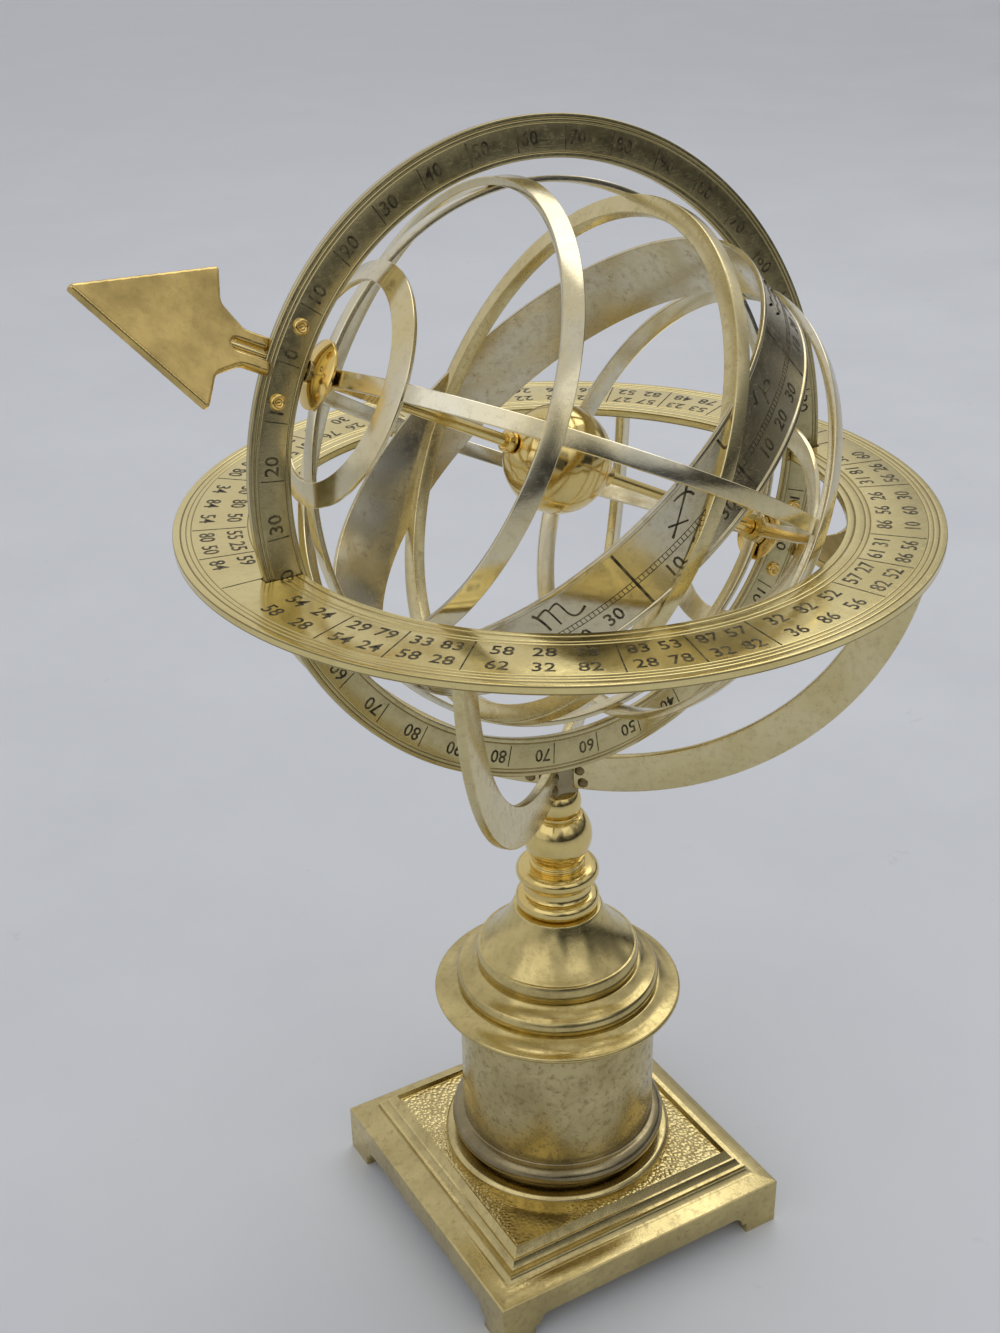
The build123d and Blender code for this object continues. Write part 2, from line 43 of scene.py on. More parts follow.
MM = 0.001
MERGE = 1e-6
CREASE = 32.0
LEAN = math.radians(10.2)
LATITUDE = math.radians(27.6)
CENTRE = Vector((0.0, 0.0, 318.9)) * MM
SOUTH = Vector((1.0, 0.0, 0.0))
UP = Vector((0.0, math.sin(LEAN), math.cos(LEAN)))
POLE = UP * math.sin(LATITUDE) - SOUTH * math.cos(LATITUDE)
SUMMIT = SOUTH * math.sin(LATITUDE) + UP * math.cos(LATITUDE)


class Body(Enum):
    """Rigid bodies of the frame."""

    STAND = "stand"
    MERIDIAN = "meridian"
    CAGE = "cage"
    GLOBE = "globe"


class Slot(Enum):
    """Material slots of the record."""

    ANTIQUE = "antique_brass"
    DARK = "dark_brass"
    POLISHED = "polished_brass"
    OLIVE = "olive_brass"
    BRUSHED = "brushed_brass"
    BRIGHT = "bright_brass"
    NICKEL = "nickel_brass"


def basis(x_axis: Vector, z_axis: Vector, origin: Vector) -> Matrix:
    """Builds a placing matrix.

    Args:
        x_axis: Direction of the local X axis.
        z_axis: Direction of the local Z axis.
        origin: Local origin in metres.

    Returns:
        The matrix from local to part coordinates.
    """
    y_axis = z_axis.cross(x_axis)
    turn = Matrix((x_axis, y_axis, z_axis)).transposed().to_4x4()
    return Matrix.Translation(origin) @ turn


AT_STAND = Matrix.Identity(4)
AT_MERIDIAN = basis(SOUTH, SOUTH.cross(UP), CENTRE)
AT_AXIS = basis(SUMMIT, POLE, CENTRE)
AT_CAGE = AT_AXIS @ Matrix.Rotation(math.radians(2.3), 4, "Z")
AT_ZODIAC = AT_CAGE @ Matrix.Rotation(math.radians(24.8), 4, "Y")
HALF_TURN = Matrix.Rotation(math.pi, 4, "X")
QUARTER = Matrix.Rotation(math.pi / 2, 4, "X")


class Bench:
    """Operator steps that every piece shares."""

    @staticmethod
    def clear() -> None:
        """Leaves edit mode and deselects everything."""
        if bpy.context.object and bpy.context.object.mode != "OBJECT":
            bpy.ops.object.mode_set(mode="OBJECT")
        bpy.ops.object.select_all(action="DESELECT")

    @staticmethod
    def pick(obj: bpy.types.Object) -> bpy.types.Object:
        """Makes one object the only selected and active one."""
        Bench.clear()
        obj.select_set(True)
        bpy.context.view_layer.objects.active = obj
        return obj

    @staticmethod
    def apply_place(obj: bpy.types.Object, place: Matrix) -> bpy.types.Object:
        """Moves the object by the matrix and writes that into its mesh."""
        Bench.pick(obj)
        obj.matrix_world = place @ obj.matrix_world
        bpy.context.view_layer.update()
        bpy.ops.object.transform_apply(location=True, rotation=True, scale=True)
        return obj

    @staticmethod
    def modify(obj: bpy.types.Object, kind: str, **settings: object) -> bpy.types.Object:
        """Adds a modifier with its settings and applies it."""
        Bench.pick(obj)
        modifier = obj.modifiers.new(kind.lower(), kind)
        for key, value in settings.items():
            setattr(modifier, key, value)
        bpy.ops.object.modifier_apply(modifier=modifier.name)
        return obj

    @staticmethod
    def cut(obj: bpy.types.Object, tool: bpy.types.Object) -> bpy.types.Object:
        """Cuts the tool out of the object and deletes the tool."""
        Bench.modify(obj, "BOOLEAN", operation="DIFFERENCE", solver="EXACT", object=tool)
        bpy.data.objects.remove(tool)
        return obj

    @staticmethod
    def merged_copy(node: str, name: str) -> bpy.types.Object:
        """Copies a CAD node free of its body, with its doubled vertices merged."""
        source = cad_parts[node]
        twin = Bench.copy(source, source.matrix_world.copy())
        twin.parent = None
        twin.name = name
        Bench.pick(twin)
        bpy.ops.object.transform_apply(location=True, rotation=True, scale=True)
        bpy.ops.object.mode_set(mode="EDIT")
        bpy.ops.mesh.select_all(action="SELECT")
        bpy.ops.mesh.remove_doubles(threshold=MERGE)
        bpy.ops.object.mode_set(mode="OBJECT")
        return twin

    @staticmethod
    def smooth(obj: bpy.types.Object, degrees: float) -> bpy.types.Object:
        """Shades smooth across edges below the angle."""
        Bench.pick(obj)
        bpy.ops.object.shade_smooth_by_angle(angle=math.radians(degrees))
        return obj

    @staticmethod
    def join(name: str, objs: list[bpy.types.Object]) -> bpy.types.Object:
        """Joins several objects into one named object with an applied place."""
        Bench.clear()
        for obj in objs:
            obj.select_set(True)
        bpy.context.view_layer.objects.active = objs[0]
        bpy.ops.object.join()
        joined = bpy.context.object
        joined.name = name
        return Bench.apply_place(joined, Matrix.Identity(4))

    @staticmethod
    def copy(obj: bpy.types.Object, place: Matrix) -> bpy.types.Object:
        """Copies an object with its own mesh and places the copy."""
        twin = obj.copy()
        twin.data = obj.data.copy()
        bpy.context.collection.objects.link(twin)
        twin.matrix_world = place
        return twin

    @staticmethod
    def box(low: tuple[float, float, float], high: tuple[float, float, float]) -> bpy.types.Object:
        """Adds a box between two corners in millimetres."""
        Bench.clear()
        bpy.ops.mesh.primitive_cube_add(size=1)
        obj = bpy.context.object
        obj.scale = [(b - a) * MM for a, b in zip(low, high)]
        obj.location = [(a + b) / 2 * MM for a, b in zip(low, high)]
        bpy.ops.object.transform_apply(location=True, rotation=True, scale=True)
        return obj


Point = tuple[float, float]


def arc(start: Point, middle: Point, end: Point, steps: int = 10) -> list[Point]:
    """Points on the round arc through three points.

    Args:
        start: First point as (radius, height).
        middle: A point on the arc.
        end: Last point.
        steps: Number of edges.

    Returns:
        The points, both ends among them.
    """
    ax, ay = start
    bx, by = middle
    cx, cy = end
    scale = 2 * (ax * (by - cy) + bx * (cy - ay) + cx * (ay - by))
    a2, b2, c2 = ax * ax + ay * ay, bx * bx + by * by, cx * cx + cy * cy
    ox = (a2 * (by - cy) + b2 * (cy - ay) + c2 * (ay - by)) / scale
    oy = (a2 * (cx - bx) + b2 * (ax - cx) + c2 * (bx - ax)) / scale
    radius = math.hypot(ax - ox, ay - oy)
    first = math.atan2(ay - oy, ax - ox)
    mid = (math.atan2(by - oy, bx - ox) - first) % math.tau
    sweep = (math.atan2(cy - oy, cx - ox) - first) % math.tau
    if mid > sweep:
        sweep -= math.tau
    angles = [first + sweep * i / steps for i in range(steps + 1)]
    return [(ox + radius * math.cos(t), oy + radius * math.sin(t)) for t in angles]


def softened(points: list[Point], radius: float, sharpest: float = 20.0) -> list[Point]:
    """Rounds the corners of a closed outline.

    Args:
        points: Corners in order.
        radius: Reach of the rounding along each side.
        sharpest: Turns below this many degrees are left as they are.

    Returns:
        The corners with a short curve in place of each sharp one.
    """
    result: list[Point] = []
    points = [p for i, p in enumerate(points) if math.dist(p, points[i - 1]) > 1e-3]
    count = len(points)
    for index, (x, y) in enumerate(points):
        px, py = points[index - 1]
        nx, ny = points[(index + 1) % count]
        before, after = math.hypot(px - x, py - y), math.hypot(nx - x, ny - y)
        turn = math.atan2(y - py, x - px) - math.atan2(ny - y, nx - x)
        turn = abs((turn + math.pi) % math.tau - math.pi)
        if math.degrees(turn) < sharpest or x < 1e-6:
            result.append((x, y))
            continue
        reach = min(radius, before * 0.4, after * 0.4)
        sx, sy = x + (px - x) * reach / before, y + (py - y) * reach / before
        ex, ey = x + (nx - x) * reach / after, y + (ny - y) * reach / after
        for t in (0.0, 0.3, 0.7, 1.0):
            u = 1 - t
            bend = (u * u, 2 * u * t, t * t)
            result.append(tuple(sum(w * v for w, v in zip(bend, row)) for row in ((sx, x, ex), (sy, y, ey))))
    return result


@dataclass
class Turning:
    """A piece spun from a closed half section, as (radius, height) in millimetres."""

    name: str
    section: list[Point]
    place: Matrix
    soft: float = 0.4
    steps: int = 160

    def build(self) -> bpy.types.Object:
        """Draws the outline by extrusion, spins it round Z and sets it in place.

        Returns:
            The finished object, at the origin.
        """
        outline = softened(self.section, self.soft) if self.soft else self.section
        Bench.clear()
        bpy.ops.mesh.primitive_plane_add(size=MM)
        obj = bpy.context.object
        obj.location = (outline[0][0] * MM, 0, outline[0][1] * MM)
        bpy.ops.object.transform_apply(location=True)
        bpy.ops.object.mode_set(mode="EDIT")
        bpy.ops.mesh.select_all(action="SELECT")
        bpy.ops.mesh.merge(type="CENTER")
        for (x0, z0), (x1, z1) in zip(outline, outline[1:] + outline[:1]):
            step = ((x1 - x0) * MM, 0, (z1 - z0) * MM)
            bpy.ops.mesh.extrude_vertices_move(TRANSFORM_OT_translate={"value": step})
        bpy.ops.mesh.select_all(action="SELECT")
        bpy.ops.mesh.remove_doubles(threshold=MERGE)
        bpy.ops.mesh.spin(steps=self.steps, angle=math.tau, center=(0, 0, 0), axis=(0, 0, 1))
        bpy.ops.mesh.select_all(action="SELECT")
        bpy.ops.mesh.remove_doubles(threshold=MERGE)
        bpy.ops.mesh.normals_make_consistent(inside=False)
        bpy.ops.object.mode_set(mode="OBJECT")
        obj.name = self.name
        Bench.smooth(obj, CREASE)
        return Bench.apply_place(obj, self.place)


def flat_ring(outer: float, inner: float, half: float, grooves: tuple[Point, ...] = ()) -> list[Point]:
    """Half section of a flat ring with V-grooves on both faces.

    Args:
        outer: Outer radius.
        inner: Inner radius.
        half: Half of the thickness.
        grooves: Radius and width of each groove, from the outside in.

    Returns:
        The closed section.
    """
    top: list[Point] = [(outer, half)]
    for radius, width in grooves:
        top += [(radius + width / 2, half), (radius, half - width * 0.55), (radius - width / 2, half)]
    top.append((inner, half))
    return top + [(r, -h) for r, h in reversed(top)]


def lathe_marks(obj: bpy.types.Object, place: Matrix) -> None:
    """Writes each vertex's radius and height about its own axis, in millimetres, for the turning marks and
    the painted groove shade.
    """
    back = place.inverted()
    marks = obj.data.attributes.new("lathe", "FLOAT_VECTOR", "POINT")
    for vertex in obj.data.vertices:
        local = back @ vertex.co
        marks.data[vertex.index].vector = (math.hypot(local.x, local.y) / MM, local.z / MM, 0.0)


class Graph:
    """A small writer of shader node trees."""

    def __init__(self, name: str) -> None:
        self.material = bpy.data.materials.new(name)
        self.material.use_nodes = True
        self.tree = self.material.node_tree
        self.tree.nodes.clear()

    @classmethod
    def around(cls, material: bpy.types.Material) -> "Graph":
        """A writer for the nodes of a material that exists."""
        graph = cls.__new__(cls)
        graph.material = material
        graph.tree = material.node_tree
        return graph

    def add(self, kind: str, inputs: dict[str, object] | None = None, **settings: object) -> bpy.types.Node:
        """Adds a node, sets its properties, and sets or links its inputs."""
        node = self.tree.nodes.new("ShaderNode" + kind)
        for key, value in settings.items():
            setattr(node, key, value)
        for key, value in (inputs or {}).items():
            socket = node.inputs[int(key)] if key.isdigit() else node.inputs[key]
            if isinstance(value, bpy.types.NodeSocket):
                self.tree.links.new(value, socket)
            else:
                socket.default_value = value
        return node

    def scaled(self, factor: tuple[float, float, float], attribute: str = "") -> bpy.types.NodeSocket:
        """Object coordinates, or an attribute of the mesh, times a factor on each axis."""
        if attribute:
            source = self.add("Attribute", attribute_name=attribute).outputs["Vector"]
        else:
            source = self.add("TexCoord").outputs["Object"]
        return self.add("VectorMath", {"0": source, "1": factor}, operation="MULTIPLY").outputs[0]

    def noise(
        self, vector: bpy.types.NodeSocket, detail: float = 3.0, rough: float = 0.55
    ) -> bpy.types.NodeSocket:
        """Noise value at a scale of one."""
        node = self.add("TexNoise", {"Vector": vector, "Scale": 1.0, "Detail": detail, "Roughness": rough})
        return node.outputs[0]

    def ramp(
        self, value: bpy.types.NodeSocket, low: float, high: float, a: float = 0.0, b: float = 1.0
    ) -> bpy.types.NodeSocket:
        """The value mapped from one range to another, and clamped."""
        limits = {"From Min": low, "From Max": high, "To Min": a, "To Max": b}
        return self.add("MapRange", {"Value": value, **limits}).outputs[0]

    def mix(self, factor: object, a: object, b: object) -> bpy.types.NodeSocket:
        """Mix of two colours."""
        node = self.add("Mix", data_type="RGBA")
        for key, value in (("Factor", factor), ("A", a), ("B", b)):
            socket = [s for s in node.inputs if s.name == key and s.enabled][0]
            if isinstance(value, bpy.types.NodeSocket):
                self.tree.links.new(value, socket)
            else:
                socket.default_value = value
        return [s for s in node.outputs if s.enabled][0]

    def math(self, operation: str, a: object, b: object = 0.0) -> bpy.types.NodeSocket:
        """A sum, product or other operation on two values."""
        return self.add("Math", {"0": a, "1": b}, operation=operation).outputs[0]


def tone(red: float, green: float, blue: float) -> tuple[float, float, float, float]:
    """An opaque linear colour."""
    return (red, green, blue, 1.0)


@dataclass(frozen=True)
class Metal:
    """A worn metal skin: two tones, speckled patina, scratches, turning marks and, on flat rings, painted
    shade in the grooves.
    """

    name: str
    light: tuple[float, float, float, float]
    deep: tuple[float, float, float, float]
    patina: tuple[float, float, float, float]
    rough: float = 0.22
    speckle: float = 0.3
    blotch: float = 0.05
    grain: float = 0.12
    scratch: float = 0.4
    turned: float = 0.0
    # Face level about the ring's axis in mm; what lies just below it gets painted shade, and 0 leaves none.
    groove_at: float = 0.0

    def material(self) -> bpy.types.Material:
        """Writes the shader.

        Returns:
            The material.
        """
        g = Graph(self.name)
        wide = g.noise(g.scaled((self.blotch / MM,) * 3), 4.0)
        fine = g.noise(g.scaled((1.7 / MM,) * 3), 2.0, 0.6)
        mid = g.noise(g.scaled((0.35 / MM,) * 3), 5.0, 0.65)
        colour = g.mix(g.ramp(wide, 0.35, 0.68), self.light, self.deep)
        spots = g.math("MULTIPLY", g.ramp(fine, 0.58, 0.72), g.ramp(mid, 0.42, 0.66))
        spots = g.math("MULTIPLY", spots, self.speckle * 2)
        stain = g.math("MULTIPLY", g.ramp(mid, 0.5, 0.8), self.speckle)
        dirt_and_groove_shade = g.math("MAXIMUM", g.math("MINIMUM", spots, 0.85), stain)
        height = g.math("MULTIPLY", fine, self.grain)
        lines = []
        for stretch in ((3.5, 0.05, 0.4), (0.06, 2.9, 0.3), (0.3, 0.4, 3.1)):
            streak = g.noise(g.scaled(tuple(v / MM for v in stretch)), 1.0)
            lines.append(g.ramp(streak, 0.66, 0.71))
        scratch = g.math("MAXIMUM", g.math("MAXIMUM", lines[0], lines[1]), lines[2])
        height = g.math("SUBTRACT", height, g.math("MULTIPLY", scratch, self.scratch * 0.12))
        if self.turned:
            marks = g.noise(g.scaled((4.0, 4.0, 0.0), "lathe"), 2.0, 0.7)
            height = g.math("ADD", height, g.math("MULTIPLY", marks, self.turned))
        # Painted shade: darkens whatever lies 0.04 to 0.6 mm below the face level, which is the V-grooves
        # and the rim walls next to each face.
        if self.groove_at:
            level = g.add("SeparateXYZ", {"0": g.scaled((1.0, 1.0, 1.0), "lathe")}).outputs[1]
            depth = g.math("SUBTRACT", self.groove_at, g.math("ABSOLUTE", level))
            cut = g.math("MULTIPLY", g.ramp(depth, 0.04, 0.2), g.math("LESS_THAN", depth, 0.6))
            dirt_and_groove_shade = g.math("MAXIMUM", dirt_and_groove_shade, g.math("MULTIPLY", cut, 0.75))
        # Mixes in patina by one mask that holds the real speckles and stains together with the painted
        # groove shade.
        colour = g.mix(dirt_and_groove_shade, colour, self.patina)
        rough = g.ramp(mid, 0.3, 0.75, self.rough * 0.75, self.rough * 1.35)
        rough = g.math("ADD", rough, g.math("MULTIPLY", dirt_and_groove_shade, 0.22))
        bump = g.add("Bump", {"Height": height, "Strength": 0.6, "Distance": 0.25 * MM})
        shader = g.add(
            "BsdfPrincipled",
            {"Base Color": colour, "Metallic": 1.0, "Roughness": rough, "Normal": bump.outputs[0]},
        )
        g.add("OutputMaterial", {"Surface": shader.outputs[0]})
        return g.material


@dataclass(frozen=True)
class Cast(Metal):
    """The plinth's metal, with a pebbled field inside its mouldings."""

    field_edge: float = 47.2
    field_level: float = 30.0
    pebble: float = 1 / 0.62
    worn_corner: tuple[float, float, float] = (-32.0, -38.0, 30.0)

    def material(self) -> bpy.types.Material:
        """Adds the pebbles to the plain metal.

        Returns:
            The material.
        """
        material = super().material()
        g = Graph.around(material)
        bump = [n for n in g.tree.nodes if n.type == "BUMP"][0]
        plain = bump.inputs["Height"].links[0].from_socket
        cells = g.add("TexVoronoi", {"Vector": g.scaled((1 / (self.pebble * MM),) * 3), "Scale": 1.0})
        place = g.add("SeparateXYZ", {"0": g.scaled((1 / MM,) * 3)})
        x, y, z = place.outputs
        square = g.math("MAXIMUM", g.math("ABSOLUTE", x), g.math("ABSOLUTE", y))
        level = g.math("LESS_THAN", g.math("ABSOLUTE", g.math("SUBTRACT", z, self.field_level)), 0.8)
        field = g.math("MULTIPLY", g.ramp(square, self.field_edge, self.field_edge - 1), level)
        smooth_corner = {"0": g.scaled((1 / MM,) * 3), "1": self.worn_corner}
        patch = g.add("VectorMath", smooth_corner, operation="DISTANCE")
        field = g.math("MULTIPLY", field, g.ramp(patch.outputs["Value"], 9.0, 15.0, 0.12, 1.0))
        pebbles = g.math("MULTIPLY", g.ramp(cells.outputs["Distance"], 0.0, 0.8, 2.6, 0.0), field)
        total = g.math("ADD", plain, pebbles)
        g.tree.links.new(total, bump.inputs["Height"])
        return material


@dataclass(frozen=True)
class Ink:
    """Blackened engraving, and on the horizon ring painted shade in stamped figures and grooves."""

    name: str = "engraving"
    depth: tuple[float, float, float, float] = (0.045, 0.038, 0.022, 1.0)
    worn: tuple[float, float, float, float] = (0.22, 0.18, 0.09, 1.0)

    def material(self) -> bpy.types.Material:
        """Writes the shader.

        Returns:
            The material.
        """
        g = Graph(self.name)
        wear = g.ramp(g.noise(g.scaled((0.4 / MM,) * 3), 4.0), 0.4, 0.7)
        colour = g.mix(wear, self.depth, self.worn)
        pits = g.noise(g.scaled((3 / MM,) * 3))
        bump = g.add("Bump", {"Height": pits, "Strength": 0.5, "Distance": 0.1 * MM})
        shader = g.add(
            "BsdfPrincipled",
            {
                "Base Color": colour,
                "Metallic": 0.7,
                "Roughness": g.ramp(wear, 0, 1, 0.55, 0.35),
                "Normal": bump.outputs[0],
            },
        )
        g.add("OutputMaterial", {"Surface": shader.outputs[0]})
        return g.material


YELLOW = tone(0.80, 0.64, 0.27)
GOLD = tone(0.86, 0.62, 0.20)
BROWN = tone(0.16, 0.11, 0.045)
SILVER = tone(0.74, 0.71, 0.58)

ANTIQUE = Metal(
    "antique brass", light=tone(0.70, 0.57, 0.25), deep=tone(0.50, 0.40, 0.17), patina=BROWN, rough=0.16,
    speckle=0.38, blotch=0.06, grain=0.1, scratch=0.3, turned=0.12,
)
POLISHED_TURNING = Metal(
    "polished turning", light=YELLOW, deep=tone(0.74, 0.56, 0.2), patina=BROWN, rough=0.1, speckle=0.14,
    blotch=0.05, grain=0.04, scratch=0.2, turned=0.08,
)
DARK = Metal(
    "dark brass", light=tone(0.36, 0.30, 0.17), deep=tone(0.22, 0.18, 0.10), patina=BROWN, rough=0.2,
    speckle=0.3, blotch=0.05, grain=0.08, scratch=0.2, turned=0.08,
)
CASTING = Cast(
    "cast brass", light=tone(0.68, 0.56, 0.26), deep=tone(0.52, 0.42, 0.19),
    patina=tone(0.16, 0.11, 0.05), rough=0.18, speckle=0.45, blotch=0.05, grain=0.18, scratch=0.3,
)
DRUM = Metal(
    "speckled drum", light=tone(0.64, 0.54, 0.28), deep=tone(0.46, 0.38, 0.18), patina=BROWN, rough=0.22,
    speckle=0.75, blotch=0.05, grain=0.22, scratch=0.2, turned=0.08,
)
HORIZON = Metal(
    "horizon brass", light=tone(0.84, 0.71, 0.33), deep=tone(0.74, 0.61, 0.26), patina=BROWN, rough=0.17,
    speckle=0.16, blotch=0.03, grain=0.06, scratch=0.3, turned=0.04, groove_at=1.5,
)
MERIDIAN = Metal(
    "meridian brass", light=tone(0.70, 0.60, 0.32), deep=tone(0.54, 0.46, 0.22), patina=BROWN, rough=0.2,
    speckle=0.2, blotch=0.03, grain=0.08, scratch=0.3, turned=0.06, groove_at=1.5,
)
ARROW = Metal(
    "arrow brass", light=tone(0.72, 0.53, 0.19), deep=tone(0.42, 0.31, 0.11),
    patina=tone(0.2, 0.13, 0.05), rough=0.14, speckle=0.3, blotch=0.07, grain=0.05, scratch=0.3,
)
ARMS = Metal(
    "brushed brass", light=tone(0.74, 0.64, 0.36), deep=tone(0.66, 0.55, 0.27), patina=BROWN, rough=0.22,
    speckle=0.26, blotch=0.05, grain=0.1, scratch=0.35,
)
BRIGHT = Metal(
    "bright brass", light=GOLD, deep=tone(0.80, 0.59, 0.22), patina=tone(0.3, 0.2, 0.08), rough=0.12,
    speckle=0.1, blotch=0.05, grain=0.04, scratch=0.22,
)
HOOPS = Metal(
    "worn nickel", light=SILVER, deep=tone(0.76, 0.64, 0.34), patina=tone(0.3, 0.23, 0.11), rough=0.15,
    speckle=0.26, blotch=0.02, grain=0.06, scratch=0.25, turned=0.08,
)
BAND = Metal(
    "zodiac nickel", light=tone(0.66, 0.62, 0.49), deep=tone(0.66, 0.56, 0.31),
    patina=tone(0.26, 0.2, 0.1), rough=0.18, speckle=0.42, blotch=0.02, grain=0.08, scratch=0.25,
    turned=0.05,
)
SOLDER = Metal(
    "brazing", light=tone(0.28, 0.22, 0.1), deep=tone(0.2, 0.15, 0.07), patina=tone(0.06, 0.04, 0.02),
    rough=0.4, speckle=0.6, blotch=0.1, grain=0.6, scratch=0.2,
)


class Skins:
    """Keeps one material for each finish."""

    def __init__(self) -> None:
        self.made: dict[str, bpy.types.Material] = {}

    def of(self, finish: Metal | Ink) -> bpy.types.Material:
        """The material of a finish, made once."""
        if finish.name not in self.made:
            self.made[finish.name] = finish.material()
        return self.made[finish.name]


SKINS = Skins()


def finish(
    obj: bpy.types.Object,
    skin: Metal | Ink,
    body: Body,
    slot: Slot,
    replaces: tuple[str, ...] = (),
    place: Matrix | None = None,
) -> bpy.types.Object:
    """Gives a piece its material and its body, and hides the CAD nodes that it stands for.

    Args:
        obj: The piece, at the origin.
        skin: Its finish.
        body: The body it rides on.
        slot: The record's slot. Not used.
        replaces: CAD nodes it stands for.
        place: Frame of its turning marks and of its painted groove shade, where it has them.

    Returns:
        The same object.
    """
    obj.data.materials.clear()
    obj.data.materials.append(SKINS.of(skin))
    if place is not None:
        lathe_marks(obj, place)
    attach(obj, body.value)
    if replaces:
        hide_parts(*replaces)
    return obj


@dataclass
class Pedestal:
    """Turned pieces of the stand, from the torus up to the bead under the post."""

    bore: float = 3.2

    def sections(self) -> dict[str, tuple[list[Point], Metal, Slot]]:
        """The half section, finish and slot of each turned piece."""
        b = self.bore
        torus = [(b, 34.5), (38.0, 34.5), (38.0, 36.3)] + arc((38.0, 36.4), (42.2, 40.5), (38.0, 44.6), 14)
        torus += [(37.6, 45.0), (37.6, 45.6), (b, 45.6)]
        drum = [(b, 45.2), (37.7, 45.2), (37.7, 101.2), (b, 101.2)]
        cap = [(b, 101.0), (38.9, 101.0)] + arc((38.9, 101.0), (43.0, 101.3), (46.6, 102.5), 6)
        cap += arc((46.6, 102.6), (47.3, 103.6), (46.6, 104.7), 6)
        cap += arc((46.5, 104.75), (42.9, 105.5), (39.2, 107.6), 6) + [(b, 107.6)]
        disc = [(b, 107.6), (37.6, 107.6)] + arc((37.7, 107.7), (38.6, 110.6), (37.6, 113.5), 8)
        disc += arc((37.5, 113.6), (34.7, 114.5), (31.6, 116.7), 6) + [(b, 116.7)]
        ring = [(b, 116.7), (30.2, 116.7)] + arc((30.2, 116.8), (31.0, 120.2), (30.2, 123.6), 8)
        ring += [(29.8, 123.7), (b, 123.7)]
        bell = [(b, 123.7)] + arc((29.5, 123.7), (21.9, 131.6), (16.6, 141.3), 18) + [(b, 141.3)]
        collar = [(b, 141.3), (12.6, 141.3)] + arc((12.6, 141.3), (15.8, 144.5), (12.6, 147.7), 12)
        collar += arc((12.5, 147.8), (11.6, 150.4), (12.5, 153.1), 8)
        collar += arc((12.6, 153.2), (15.6, 156.4), (12.6, 159.6), 12) + [(b, 159.6)]
        low = 172.2 - math.sqrt(12.9**2 - 10.4**2)
        high = 172.2 + math.sqrt(12.9**2 - 9.2**2)
        knop = [(b, 159.6), (10.4, 159.6), (10.4, 161.0), (9.6, 161.4), (9.6, 162.2), (10.4, low)]
        knop += arc((10.5, low), (12.9, 172.2), (9.2, high), 16)
        knop += [(8.2, high), (8.2, high + 1), (b, high + 1)]
        bead = [(b, high + 1), (7.6, high + 1)]
        bead += arc((7.6, high + 1), (8.8, 186.5), (7.3, 191.0), 12) + [(b, 191.0)]
        return {
            "base_torus": (torus, DARK, Slot.DARK),
            "drum": (drum, DRUM, Slot.ANTIQUE),
            "drum_cap": (cap, ANTIQUE, Slot.ANTIQUE),
            "step_disc": (disc, ANTIQUE, Slot.ANTIQUE),
            "step_ring": (ring, ANTIQUE, Slot.ANTIQUE),
            "bell": (bell, ANTIQUE, Slot.ANTIQUE),
            "collar": (collar, POLISHED_TURNING, Slot.ANTIQUE),
            "knop": (knop, POLISHED_TURNING, Slot.ANTIQUE),
            "neck_bead": (bead, POLISHED_TURNING, Slot.ANTIQUE),
        }

    def build(self) -> None:
        """Turns every piece and the plinth."""
        for name, (section, skin, slot) in self.sections().items():
            obj = Turning(f"{name}_turned", section, AT_STAND, 0.35, 128).build()
            finish(obj, skin, Body.STAND, slot, (name,), AT_STAND)
        self.plinth()

    def plinth(self) -> bpy.types.Object:
        """Square plinth: four-sided turning, bracket cuts, hollow underside and softened edges."""
        section = [(0.0, 0.0), (63.3, 0.0), (63.3, 20.2), (62.6, 20.6), (57.0, 22.2)]
        section += arc((56.9, 22.3), (54.8, 23.4), (54.2, 26.0), 6)
        section += [(52.8, 26.0), (52.3, 26.6), (51.2, 28.6), (50.4, 28.6), (50.0, 29.1), (48.3, 31.6)]
        section += [(47.2, 30.0), (0.0, 30.0)]
        diagonal = math.sqrt(2)
        place = Matrix.Rotation(math.pi / 4, 4, "Z")
        body = Turning("plinth_cast", [(r * diagonal, h) for r, h in section], place, 0.0, 4).build()
        Bench.cut(body, Bench.box((-58.3, -58.3, -1), (58.3, 58.3, 15.4)))
        Bench.cut(body, Bench.box((-43.3, -43.3, 10), (43.3, 43.3, 25.0)))
        for turn in (0.0, math.pi / 2):
            tool = Bench.box((-49.3, -70, -1), (49.3, 70, 5.0))
            Bench.apply_place(tool, Matrix.Rotation(turn, 4, "Z"))
            Bench.cut(body, tool)
            tool = Bench.box((-47.1, -70, 4), (47.1, 70, 9.5))
            Bench.pick(tool)
            bpy.ops.object.mode_set(mode="EDIT")
            bpy.ops.mesh.select_all(action="DESELECT")
            bpy.ops.object.mode_set(mode="OBJECT")
            for edge in tool.data.edges:
                a, b = (tool.data.vertices[i].co for i in edge.vertices)
                edge.select = a.z > 9 * MM and b.z > 9 * MM and abs(a.x - b.x) < 1e-6
            bpy.ops.object.mode_set(mode="EDIT")
            bpy.ops.mesh.bevel(offset=4.4 * MM, segments=8, affect="EDGES")
            bpy.ops.object.mode_set(mode="OBJECT")
            Bench.apply_place(tool, Matrix.Rotation(turn, 4, "Z"))
            Bench.cut(body, tool)
        limit = math.radians(24)
        Bench.modify(body, "BEVEL", width=0.55 * MM, segments=3, limit_method="ANGLE", angle_limit=limit)
        seat = [(0.0, 29.0), (45.2, 29.0), (45.0, 33.2), (43.8, 34.5), (0.0, 34.5)]
        disc = Turning("plinth_seat", seat, AT_STAND, 0.5, 128).build()
        whole = Bench.join("plinth_casting", [body, disc])
        Bench.smooth(whole, CREASE)
        return finish(whole, CASTING, Body.STAND, Slot.ANTIQUE, ("plinth",))


